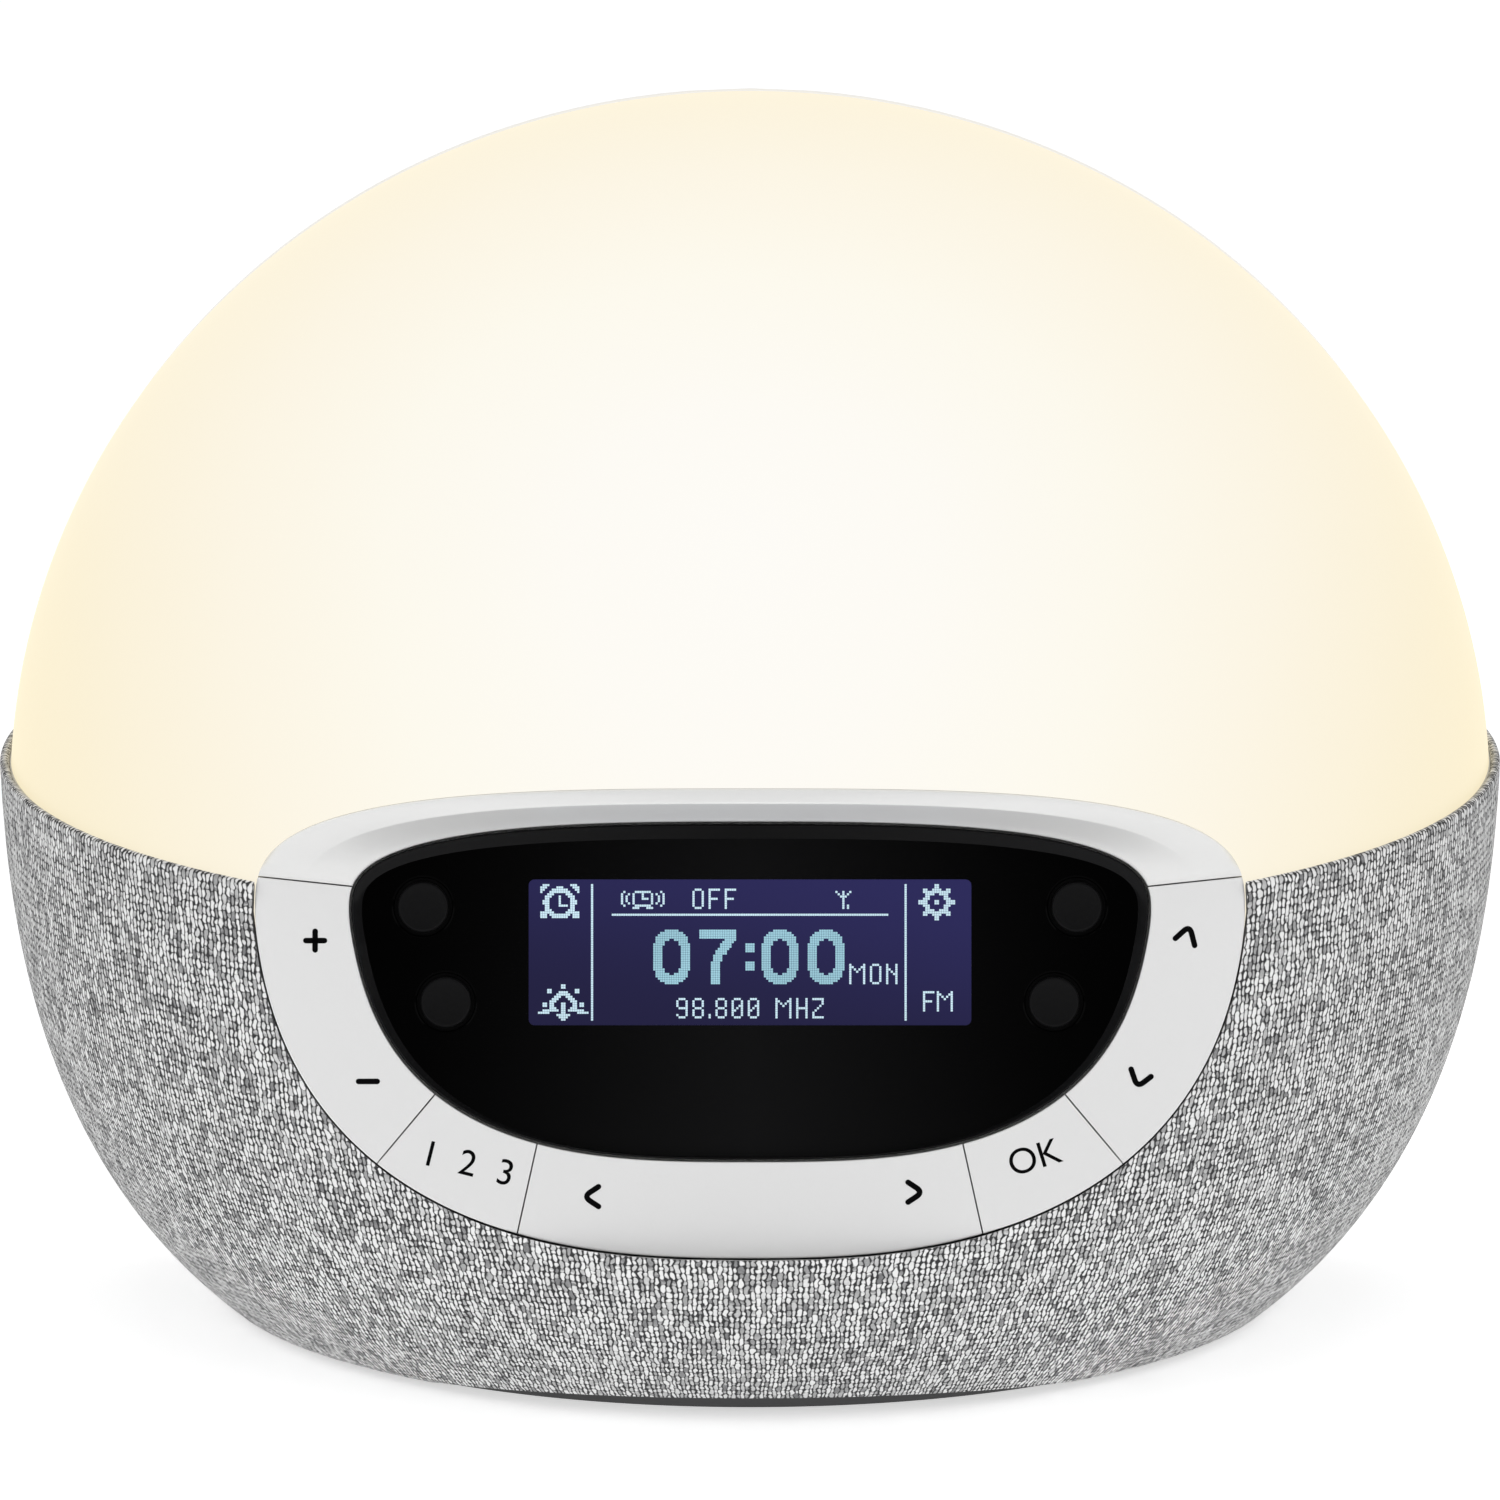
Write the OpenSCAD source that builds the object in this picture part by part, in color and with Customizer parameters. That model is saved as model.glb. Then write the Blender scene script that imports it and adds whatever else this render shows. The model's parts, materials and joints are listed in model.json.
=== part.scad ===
// Sunrise alarm clock: a glowing dome on a fabric-covered bowl, with a control panel
// cut into its front under a hood.
// Frame: +Z is up, the front faces -Y and +X is the user's right. The origin lies on the
// underside of the rubber foot, on the axis about which dome and bowl are turned.
// On the panel, x runs to the right, y up the panel and z out of it, towards the user.

/* [Body] */
// Width over the fabric at the rim of the bowl
body_w = 210; // [200:1:220]
// Height from the table to the top of the dome
body_h = 169; // [160:1:180]
// Height of the rim of the bowl
rim_z = 76; // [73:0.5:80]
// How far the joint with the rear cover lies behind the axis
seam_y = 16; // [13:0.5:19]
// Depth of the rear cover behind that joint
rear_depth = 6; // [5.5:0.5:8]
// Radius of the rounded edge of the rear cover
rear_round = 4.5; // [3:0.5:5]

/* [Bowl] */
// How far above its rim the curve of the bowl would be widest
bowl_rise = 19; // [14:1:24]
// How far below the table the curve of the bowl would close
bowl_depth = 17; // [13:1:21]
// Fullness of the curve of the bowl (2 is an ellipse)
bowl_power = 2.77; // [2.5:0.01:3]
// Thickness of the fabric with its backing
fabric_t = 1.3; // [1:0.1:1.8]
// How far the rolled edge of the fabric stands above the rim
fabric_roll = 0.7; // [0.4:0.1:1]
// Wall of the bowl moulding
shell_wall = 2.6; // [2.2:0.1:3]

/* [Dome] */
// How far below the rim the dome is widest
dome_drop = 5; // [3:0.5:7]
// Gap between the dome and the inside of the fabric
dome_gap = 0.5; // [0.3:0.1:0.9]
// Wall of the dome
dome_wall = 2.4; // [2:0.1:3]
// Depth of the tongue by which the dome sits in the bowl
tongue_h = 7; // [5:0.5:8]
// Thickness of that tongue
tongue_t = 2.2; // [1.8:0.1:2.6]

/* [Control panel] */
// How far the panel leans back
panel_tilt = 13.5; // [12:0.5:15]
// How far behind the front of the rim the panel lies
panel_inset = 25; // [24:0.5:26.5]
// How far below the rim the widest line of the panel lies
panel_drop = 3.3; // [2.3:0.1:4.3]
// Width of the ring of keys
ring_w = 135; // [133:0.5:137]
// Height of the ring of keys above its widest line
ring_up = 16.5; // [16:0.1:17.5]
// Height of the ring of keys below its widest line
ring_down = 47.3; // [46:0.1:48.5]
// Fullness of the upper half of the ring
ring_up_power = 3.2; // [2.9:0.1:3.5]
// Fullness of the lower half of the ring
ring_down_power = 2.6; // [2.5:0.05:2.7]
// Share by which the sides of the ring lean in towards its bottom
ring_lean = 0.09; // [0.07:0.01:0.11]
// Width of the black window
window_w = 109.2; // [108:0.2:111]
// Height of the window above the widest line
window_up = 11.9; // [11.5:0.1:12.3]
// Height of the window below the widest line
window_down = 34.2; // [33.4:0.1:35]
// Fullness of the upper half of the window
window_up_power = 2.9; // [2.7:0.1:3.1]
// Fullness of the lower half of the window
window_down_power = 3; // [2.9:0.05:3.1]
// Share by which the sides of the window lean in towards its bottom
window_lean = 0.11; // [0.09:0.01:0.13]

/* [Keys] */
// Thickness of the key caps
key_t = 2.6; // [2.2:0.1:3]
// Chamfer round the edge of the ring of keys
key_chamfer = 0.5; // [0.3:0.1:0.8]
// Gap between two keys, and round them
key_gap = 0.35; // [0.3:0.05:0.5]
// Travel of every key at its mark
key_travel = 0.5; // [0.3:0.05:0.6]
// Half the distance between the two points at which the joints of the ring aim
joint_focus_x = 22; // [20:0.5:24]
// Angle of the joint between a side key and the hood
hood_angle = 6; // [4:0.5:8]
// Angle of the joint between a side key and a corner key, below the horizontal
corner_from = 50; // [47:0.5:53]
// Angle of the joint between a corner key and the bottom key, below the horizontal
corner_to = 77.5; // [75:0.5:80]
// Diameter of the posts by which the keys press their switches
post_d = 3.4; // [3:0.1:4]

/* [Hood] */
// Width of the rolled lip of the hood
lip_w = 2.2; // [1.8:0.1:2.4]
// How far the lip stands proud of the dome
lip_proud = 0.6; // [0.3:0.1:1]
// Hollowness of the cove between the lip and the window, 1 for a straight slope
cove_power = 1.3; // [1:0.1:1.8]

/* [Window and display] */
// Depth of the flat of the window behind the face of the keys
window_sink = 1.6; // [1.2:0.1:1.8]
// Width of the bevel of the window at its top
bevel_top = 2; // [1.4:0.1:2.4]
// Width of the bevel of the window at its sides
bevel_side = 1.4; // [1:0.1:1.8]
// Width of the bevel of the window at its bottom
bevel_bottom = 0.4; // [0.3:0.1:0.8]
// Width of the display
lcd_w = 60.4; // [58:0.2:62]
// Height of the display
lcd_h = 19.9; // [18:0.1:20.5]
// Height of the middle of the display on the panel
lcd_y = -5.6; // [-6.2:0.1:-5]
// Corner radius of the display
lcd_corner = 0.8; // [0.5:0.1:1.2]
// Diameter of the round buttons
button_d = 6.9; // [6.4:0.1:7.2]
// Gap round each of them
button_gap = 0.5; // [0.35:0.05:0.6]
// Chamfer round the holes for them in the window
button_chamfer = 0.35; // [0.2:0.05:0.4]
// How far the round buttons stand above the flat of the window
button_proud = 0.6; // [0.4:0.1:0.9]
// Depth of the dish in the face of the round buttons
button_dish = 0.2; // [0.1:0.05:0.3]
// Distance of the upper round buttons from the side of the display
upper_button_out = 14.4; // [14:0.1:15]
// Height of the upper round buttons on the panel
upper_button_y = 0.6; // [0.2:0.1:1]
// Distance of the lower round buttons from the side of the display
lower_button_out = 11.3; // [10.8:0.1:11.8]
// Height of the lower round buttons on the panel
lower_button_y = -12.4; // [-12.8:0.1:-12]

/* [Foot] */
// How far inside the lower edge of the bowl the rubber foot lies
foot_in = 3.2; // [2.8:0.1:5]
// Thickness of the rubber foot
foot_t = 1.1; // [0.9:0.1:1.4]
// Thickness of the base plate
plate_t = 2.2; // [1.8:0.1:2.6]
// Width of the floor of the bowl round its opening
floor_w = 11.4; // [10.6:0.1:12.4]

/* [Rear] */
// Wall of the rear cover
rear_wall = 2.4; // [2:0.1:2.8]
// Radius of the power inlet
inlet_r = 5; // [4.6:0.1:5.6]
// Distance of the power inlet from the side of the clock
inlet_in = 67; // [65:0.5:69]
// Distance of the middle of the loudspeaker from the side of the clock
speaker_in = 59; // [57:0.5:60]
// Height of the middle of the loudspeaker
speaker_z = 34; // [33:0.5:35]
// Radius of the loudspeaker
speaker_r = 25; // [24:0.5:26]
// Number of sound slots
slot_count = 11; // [7:2:13]
// Width of a sound slot
slot_w = 2; // [1.6:0.1:2.2]

/* [Fits] */
// Clearance between pieces that are put together
fit_gap = 0.3; // [0.2:0.05:0.4]

/* [Hidden] */

// Facets of turned pieces, of small round pieces and of the outlines on the panel
turn_fn = 144;
round_fn = 32;
outline_steps = 72;
// Share of the height over which a side begins to lean
lean_start = 0.06;
bowl_steps = 18;
dome_steps = 30;
cove_steps = 6;
// Longer than any piece
reach = 300;
tiny = 0.01;

body_r = body_w / 2;
dome_r = body_r - fabric_t - dome_gap;
dome_z = rim_z - dome_drop;
dome_c = body_h - dome_z;
bowl_top = rim_z + bowl_rise;
bowl_b = bowl_top + bowl_depth;
bowl_a = body_r / pow(1 - pow(bowl_rise / bowl_b, bowl_power), 1 / bowl_power);
rear_y = seam_y + rear_depth;

// The bowl: its skirt stands just off the table, its floor lies on the base plate
plate_top = foot_t + plate_t;
skirt_z = foot_t + 0.2;
floor_z = plate_top + 0.1;
floor_top = floor_z + shell_wall;
foot_r = bowl_radius(fabric_t, skirt_z) - foot_in;
floor_hole_r = foot_r - floor_w;
skirt_r = foot_r + fit_gap;

// The tongue of the dome and the ledge below it
tongue_z = rim_z - tongue_h;
tongue_r = bowl_radius(fabric_t + shell_wall, tongue_z) - fit_gap;
ledge_z = tongue_z - fit_gap;
ledge_t = 2.4;
ledge_w = 7;
tongue_over = 3;

// Depths on the panel, measured from the face of the keys
frame_front = -(key_t + 1);
frame_t = 2.6;
frame_back = frame_front - frame_t;
board_front = frame_back - 3.8;
board_t = 1.6;
board_back = board_front - board_t;
pocket_floor = board_back - 2.4;
pocket_wall = 2;
post_end = frame_back - 0.5;
switch_top = post_end - key_travel - 0.2;
switch_size = 4.6;
switch_cap_h = 0.6;
switch_cap_d = 2.6;
frame_wall = 2;
lcd_frame_w = lcd_w + 9;
lcd_frame_h = lcd_h + 6.4;
flange_d = button_d + 2.8;
flange_top = frame_front - fit_gap;
flange_t = 0.6;
flange_pocket = 2;

// Places on the panel of what the keys press, and of the bosses behind them
key_middle_x = (ring_w + window_w) / 4;
key_middle_y = -(ring_down + window_down) / 2;
side_mark_upper = [key_middle_x - 2.05, -4.1];
side_mark_lower = [key_middle_x - 8.75, -23.3];
corner_mark = [joint_focus_x + 16.4, key_middle_y + 6.45];
bottom_mark = [joint_focus_x, key_middle_y + 1.85];
side_pivot = (side_mark_upper + side_mark_lower) / 2;
side_pivot_angle = atan2(side_mark_upper[1] - side_mark_lower[1], side_mark_upper[0] - side_mark_lower[0]);
upper_button_x = lcd_w / 2 + upper_button_out;
lower_button_x = lcd_w / 2 + lower_button_out;
buttons = [[upper_button_x, upper_button_y], [lower_button_x, lower_button_y]];
frame_boss_r = 3.2;
frame_bosses = [[upper_button_x + 5.4, upper_button_y + 7.8], [lcd_w / 2 - 2.2, lcd_y - lcd_h / 2 - 11.45]];
board_boss_r = 2.3;
board_bosses = [[lower_button_x + 3, lower_button_y - 8.6], [lcd_w / 2 - 10.2, lcd_y + lcd_h / 2 + 6.95]];
key_screw_r = 1;
panel_screw_r = 1.3;

// Screws and bosses of the housing
base_screw_r = 1.5;
base_boss_r = 4;
base_boss_h = 10;
base_screw_at = foot_r - 6;
base_screw_angles = [-45, -135, 3, 177];
rear_boss_r = 4;
rear_boss_h = 12;
rear_boss_in = 8;
rear_web_t = 2.4;
rear_screw_r = 1.5;
rear_screw_z = [19, 57];
rear_head_r = 3.2;
rear_head_sink = 1.2;
rear_overlap = 1.2;

// Inside the bowl
inlet_x = body_r - inlet_in;
jack_size = [9, 13, 11];
jack_y = rear_y - rear_wall - fit_gap - jack_size[1];
jack_in = 13;
jack_on = 4.7;
board_size = [67, 51];
board_x = inlet_x + jack_in - board_size[0];
board_y = jack_y + jack_on - board_size[1];
standoff_h = 9;
standoff_r = 3;
board_z = plate_top + standoff_h;
board_hole_in = [[4, 7], [9, 8]];
board_hole_x = [board_x + board_hole_in[0][0], board_x + board_size[0] - board_hole_in[0][1]];
board_hole_y = [board_y + board_hole_in[1][0], board_y + board_size[1] - board_hole_in[1][1]];
board_screw_r = 1;
inlet_z = board_z + board_t + jack_size[2] / 2;
tray_t = 1.6;
tray_well_r = 48;
tray_well_z = ledge_z - 5;
led_centre_y = -28;
sink_size = [76, 38];
sink_t = 2.4;
sink_fin_h = 8;
sink_fin_t = 1.4;
sink_fins = 10;
led_board_size = [66, 30];
led_columns = 7;
led_rows = 3;
led_size = 3.5;
speaker_rim_t = 2;
speaker_flange_r = speaker_r + 1.8;
speaker_screw_at = speaker_r;
speaker_screw_r = 0.75;
speaker_depth = 22;
speaker_x = body_r - speaker_in;
speaker_y = rear_y - rear_wall;
grommet_r = 2.6;
grommet_x = inlet_x + 24;
grommet_z = 30;
aerial_r = 1.1;
ribbon_w = 20;
ribbon_t = 0.4;
ribbon_steps = 12;
ribbon_socket_y = 4;
ribbon_socket_h = 3;

// ---- curves ----

// Radius of the bowl at height z, for a surface that lies inset inside the fabric
function bowl_radius(inset, z) =
    (bowl_a - inset) * pow(1 - pow((bowl_top - z) / (bowl_b - inset), bowl_power), 1 / bowl_power);

function bowl_angle(inset, z) = asin(pow((bowl_top - z) / (bowl_b - inset), bowl_power / 2));

// Points of the bowl's curve from height z0 to z1
function bowl_line(inset, z0, z1) =
    let (a0 = bowl_angle(inset, z0), a1 = bowl_angle(inset, z1))
    [for (k = [0:bowl_steps])
        let (a = a0 + (a1 - a0) * k / bowl_steps)
        [(bowl_a - inset) * pow(cos(a), 2 / bowl_power),
         bowl_top - (bowl_b - inset) * pow(sin(a), 2 / bowl_power)]];

// Points of the dome's curve from height z0 up to the plane at y
function dome_line(inset, z0, y = 0) =
    let (a0 = asin((z0 - dome_z) / (dome_c - inset)), a1 = acos(y / (dome_r - inset)))
    [for (k = [0:dome_steps])
        let (a = a0 + (a1 - a0) * k / dome_steps)
        [(dome_r - inset) * cos(a), dome_z + (dome_c - inset) * sin(a)]];

function reversed(list) = [for (k = [len(list) - 1:-1:0]) list[k]];

function curved(v, power) = sign(v) * pow(abs(v), 2 / power);

// A rounded outline, widest at y = 0, with its own height and fullness above and below,
// whose sides lean in towards the bottom
function oval(half_w, up, down, up_power, down_power, side_lean) =
    [for (k = [0:outline_steps - 1])
        let (a = 360 * k / outline_steps, high = a <= 180, power = high ? up_power : down_power,
            share = abs(curved(sin(a), power)),
            lean = high ? 0 : side_lean * (norm([share, lean_start]) - lean_start))
        [half_w * curved(cos(a), power) * (1 - lean), (high ? up : -down) * share]];

function ring_outline(d) =
    oval(ring_w / 2 + d, ring_up + d, ring_down + d, ring_up_power, ring_down_power, ring_lean);

function window_outline(d) =
    oval(window_w / 2 + d, window_up + d, window_down + d, window_up_power, window_down_power, window_lean);

function at_depth(outline, depth) = [for (p = outline) [p[0], p[1], depth]];

// ---- helpers ----

// A skin through rings of points, closed by a flat face at each end
module loft(rings) {
    n = len(rings[0]);
    m = len(rings);
    points = [for (ring = rings) each ring];
    sides = [for (j = [0:m - 2], i = [0:n - 1])
        let (a = j * n + i, b = j * n + (i + 1) % n)
        each [[a, b + n, b], [a, a + n, b + n]]];
    ends = [[for (i = [0:n - 1]) i], [for (i = [n - 1:-1:0]) (m - 1) * n + i]];
    polyhedron(points, concat(sides, ends));
}

// A skin through rings of points that runs back to its first ring
module band(rings) {
    n = len(rings[0]);
    m = len(rings);
    polyhedron([for (ring = rings) each ring],
        [for (j = [0:m - 1], i = [0:n - 1])
            let (next = (i + 1) % n, row = j * n, next_row = ((j + 1) % m) * n)
            each [[row + i, next_row + next, row + next], [row + i, next_row + i, next_row + next]]]);
}

module turned(profile) {
    rotate_extrude($fn = turn_fn) polygon(profile);
}

// Keeps what lies in front of the plane at y
module in_front_of(y) {
    intersection() {
        children();
        translate([-reach, y - 2 * reach, -reach]) cube([2 * reach, 2 * reach, 2 * reach]);
    }
}

module on_panel() {
    translate([0, panel_inset - body_r, rim_z - panel_drop]) rotate([90 - panel_tilt, 0, 0]) children();
}

// A straight block with the given outline on the panel, from one depth to another
module panel_block(outline, from, to) {
    translate([0, 0, from]) linear_extrude(to - from) polygon(outline);
}

module panel_cut(gap) {
    on_panel() panel_block(ring_outline(gap), pocket_floor - pocket_wall - 1, reach / 2);
}

module on_both_sides() {
    children();
    mirror([1, 0, 0]) children();
}

module rounded_plate(w, h, corner, from, to) {
    translate([0, 0, from]) linear_extrude(to - from) {
        square([w - 2 * corner, h], center = true);
        square([w, h - 2 * corner], center = true);
        for (x = [-1, 1], y = [-1, 1])
            translate([x * (w / 2 - corner), y * (h / 2 - corner)]) circle(corner, $fn = round_fn);
    }
}

// A pan-head screw whose head sits on z = 0 and whose shank points down
module screw(shank_r, length, head_h) {
    head_r = shank_r * 1.9;
    difference() {
        union() {
            translate([0, 0, -length]) cylinder(r = shank_r, h = length + tiny, $fn = round_fn);
            rotate_extrude($fn = round_fn)
                polygon([[0, 0], [head_r, 0], [head_r, head_h * 0.5], [head_r * 0.75, head_h * 0.9],
                    [head_r * 0.4, head_h], [0, head_h]]);
        }
        for (a = [0, 90])
            rotate([0, 0, a])
                translate([-head_r * 0.5, -head_r * 0.11, head_h * 0.4])
                    cube([head_r, head_r * 0.22, head_h]);
    }
}

// ---- housing ----

module diffuser_dome() {
    outer = dome_line(0, rim_z);
    inner = dome_line(dome_wall, rim_z + tongue_over);
    color("ivory")
        difference() {
            in_front_of(seam_y - fit_gap / 3)
                turned(concat(
                    [[tongue_r - tongue_t, tongue_z], [tongue_r, tongue_z], [tongue_r, rim_z + fit_gap / 3],
                        [outer[0][0], rim_z + fit_gap / 3]],
                    [for (k = [1:len(outer) - 1]) outer[k]],
                    reversed(inner),
                    [[tongue_r - tongue_t, rim_z + tongue_over]]));
            panel_cut(fit_gap);
        }
}

// What is left inside the housing for the walls of the panel's pocket
module pocket_room() {
    room_r = tongue_r - tongue_t - fit_gap;
    turned(concat([[0, floor_z]], bowl_line(fabric_t + shell_wall / 2, floor_z, ledge_z),
        [[room_r, ledge_z], [room_r, rim_z + tongue_over + fit_gap]],
        dome_line(dome_wall + fit_gap, rim_z + tongue_over + fit_gap)));
}

module base_shell() {
    outside = fabric_t + 0.05;
    inside = fabric_t + shell_wall;
    color("gainsboro")
        difference() {
            union() {
                in_front_of(seam_y - fit_gap / 3) {
                    // bowl wall, floor ring and skirt round the base plate
                    turned(concat(
                        bowl_line(outside, skirt_z, rim_z),
                        reversed(bowl_line(inside, floor_top, rim_z)),
                        [[floor_hole_r, floor_top], [floor_hole_r, floor_z], [skirt_r, floor_z],
                            [skirt_r, skirt_z]]));
                    // ledge that carries the reflector tray
                    turned([[bowl_radius(inside, ledge_z) + 1, ledge_z],
                        [bowl_radius(inside, ledge_z) - ledge_w, ledge_z],
                        [bowl_radius(inside, ledge_z) - ledge_w, ledge_z - ledge_t],
                        [bowl_radius(inside, ledge_z - ledge_w), ledge_z - ledge_w - ledge_t],
                        [bowl_radius(inside, ledge_z - ledge_w) + 1, ledge_z - ledge_w - ledge_t]]);
                    // pocket for the control panel
                    intersection() {
                        pocket_room();
                        on_panel() panel_block(ring_outline(fit_gap + pocket_wall),
                            pocket_floor - pocket_wall, reach / 2);
                    }
                    for (a = base_screw_angles)
                        rotate([0, 0, a]) translate([base_screw_at, 0, floor_z])
                            cylinder(r = base_boss_r, h = base_boss_h, $fn = round_fn);
                }
                for (z = rear_screw_z)
                    on_both_sides() translate([rear_screw_x(z), seam_y - fit_gap / 3, z])
                        rotate([90, 0, 0]) {
                            cylinder(r = rear_boss_r, h = rear_boss_h, $fn = round_fn);
                            translate([0, -rear_web_t / 2, 0])
                                cube([rear_boss_in + 1, rear_web_t, rear_boss_h]);
                        }
            }
            on_panel() {
                panel_block(ring_outline(fit_gap), pocket_floor, reach / 2);
                // way through the floor of the pocket for the ribbon cable
                translate([0, lcd_y, 0])
                    rounded_plate(lcd_w, lcd_h, 3, pocket_floor - 2 * pocket_wall, pocket_floor + 1);
                for (p = frame_bosses)
                    on_both_sides() translate([p[0], p[1], pocket_floor - 2 * pocket_wall])
                        cylinder(r = panel_screw_r + 0.2, h = 3 * pocket_wall, $fn = round_fn);
            }
            for (a = base_screw_angles)
                rotate([0, 0, a]) translate([base_screw_at, 0, floor_z - 1])
                    cylinder(r = base_screw_r, h = base_boss_h, $fn = round_fn);
            for (z = rear_screw_z)
                on_both_sides() translate([rear_screw_x(z), seam_y + 1, z])
                    rotate([90, 0, 0]) cylinder(r = rear_screw_r, h = rear_boss_h, $fn = round_fn);
        }
}

function rear_screw_x(z) =
    sqrt(pow(bowl_radius(fabric_t + shell_wall, z), 2) - pow(seam_y, 2)) - rear_boss_in;

module fabric_cover() {
    outer = bowl_line(0, skirt_z + fabric_t / 2, rim_z);
    inner = bowl_line(fabric_t, skirt_z, rim_z);
    color("silver")
        difference() {
            in_front_of(seam_y - fit_gap / 3)
                turned(concat(
                    [inner[0], [outer[0][0] - fabric_t * 0.6, skirt_z]],
                    outer,
                    [for (a = [0:30:180])
                        [body_r - fabric_t / 2 + fabric_t / 2 * cos(a),
                            rim_z + (a == 0 || a == 180 ? 0.05 : 0) + fabric_roll * sin(a)]],
                    reversed(inner)));
            panel_cut(fit_gap);
        }
}

// Outline of the housing where the rear cover meets it, inset all round
function rear_outline(inset) =
    let (bowl = bowl_line(fabric_t + inset, skirt_z + inset, rim_z),
        side = concat(bowl, dome_line(inset, rim_z + 1, seam_y)),
        half = [for (p = side) [sqrt(max(p[0] * p[0] - seam_y * seam_y, 0)), p[1]]])
    concat(half, [for (k = [len(half) - 2:-1:0]) [-half[k][0], half[k][1]]]);

function rear_ring(inset, y) = [for (p = rear_outline(inset)) [p[0], y, p[1]]];

module rear_cover() {
    inner_y = rear_y - rear_wall;
    inner_round = min(rear_round, rear_depth - rear_wall) * 0.6;
    color("whitesmoke")
        difference() {
            union() {
                // the rim, from the rounded outer edge round the joint to the inner corner
                band(concat(
                    [rear_ring(rear_round + rear_overlap, rear_y)],
                    [for (a = [90:-22.5:0])
                        rear_ring(rear_round * (1 - cos(a)), rear_y - rear_round * (1 - sin(a)))],
                    [rear_ring(0, seam_y),
                        rear_ring(rear_wall, seam_y),
                        rear_ring(rear_wall, inner_y - inner_round),
                        rear_ring(rear_wall + inner_round * 0.3, inner_y - inner_round * 0.3),
                        rear_ring(rear_round + rear_overlap, inner_y)]));
                // the flat back
                translate([0, rear_y, 0]) rotate([90, 0, 0]) linear_extrude(rear_wall)
                    polygon(rear_outline(rear_round + rear_overlap / 2));
            }
            translate([inlet_x, rear_y + 1, inlet_z])
                rotate([90, 0, 0]) cylinder(r = inlet_r, h = rear_depth, $fn = round_fn);
            translate([grommet_x, rear_y + 1, grommet_z])
                rotate([90, 0, 0]) cylinder(r = grommet_r, h = rear_depth, $fn = round_fn);
            for (z = rear_screw_z)
                on_both_sides() translate([rear_screw_x(z), rear_y + 1, z]) rotate([90, 0, 0]) {
                    cylinder(r = rear_screw_r + 0.2, h = rear_depth + 2, $fn = round_fn);
                    cylinder(r = rear_head_r, h = rear_head_sink + 1, $fn = round_fn);
                }
            translate([-speaker_x, rear_y + 1, speaker_z]) rotate([90, 0, 0])
                linear_extrude(rear_depth) sound_slots();
            on_speaker() for (a = [45:90:315])
                rotate([0, 0, a]) translate([speaker_screw_at, 0, -rear_wall / 2])
                    cylinder(r = speaker_screw_r + 0.05, h = rear_wall, $fn = round_fn);
        }
}

// Upright slots that fill the circle of the loudspeaker's cone
module sound_slots() {
    half = (slot_count - 1) / 2;
    pitch = 2 * (speaker_r - 6) / slot_count;
    for (k = [-half:half]) {
        h = sqrt(pow(speaker_r - 5, 2) - pow(k * pitch, 2)) - slot_w / 2;
        translate([k * pitch, 0]) square([slot_w, 2 * h], center = true);
        for (s = [-1, 1])
            translate([k * pitch, s * h]) circle(slot_w / 2, $fn = round_fn);
    }
}

module rear_screws() {
    color("dimgray")
        for (z = rear_screw_z)
            on_both_sides() translate([rear_screw_x(z), rear_y - rear_head_sink, z])
                rotate([-90, 0, 0]) screw(rear_screw_r - 0.05, rear_depth + rear_boss_h - 4, 1.6);
}

module base_plate() {
    color("black")
        difference() {
            union() {
                in_front_of(seam_y - 1)
                    translate([0, 0, foot_t]) cylinder(r = foot_r, h = plate_t, $fn = turn_fn);
                for (x = board_hole_x, y = board_hole_y)
                    translate([x, y, foot_t]) cylinder(r = standoff_r, h = board_z - foot_t, $fn = round_fn);
            }
            for (x = board_hole_x, y = board_hole_y)
                translate([x, y, plate_top]) cylinder(r = board_screw_r, h = board_z, $fn = round_fn);
            for (a = base_screw_angles)
                rotate([0, 0, a]) translate([base_screw_at, 0, 0])
                    cylinder(r = base_screw_r + 0.2, h = 3 * plate_t, $fn = round_fn);
        }
}

module rubber_foot() {
    color("black")
        difference() {
            in_front_of(seam_y) cylinder(r = foot_r, h = foot_t, $fn = turn_fn);
            for (a = base_screw_angles)
                rotate([0, 0, a]) translate([base_screw_at, 0, -1])
                    cylinder(r = base_screw_r * 2.4, h = foot_t + 2, $fn = round_fn);
        }
}

module base_screws() {
    color("dimgray")
        for (a = base_screw_angles)
            rotate([0, 0, a]) translate([base_screw_at, 0, foot_t])
                rotate([180, 0, 0]) screw(base_screw_r - 0.05, plate_t + base_boss_h - 2, foot_t - 0.2);
}

// ---- control panel ----

// How far in front of the panel the surface of the dome lies at a point of the panel
function dome_rise(p) =
    let (y0 = panel_inset - body_r + p[1] * sin(panel_tilt),
        z0 = rim_z - panel_drop + p[1] * cos(panel_tilt) - dome_z,
        a = pow(cos(panel_tilt) / dome_r, 2) + pow(sin(panel_tilt) / dome_c, 2),
        b = z0 * sin(panel_tilt) / pow(dome_c, 2) - y0 * cos(panel_tilt) / pow(dome_r, 2),
        c = (p[0] * p[0] + y0 * y0) / pow(dome_r, 2) + pow(z0 / dome_c, 2) - 1)
    c >= 0 ? 0 : (sqrt(b * b - a * c) - b) / a;

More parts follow.
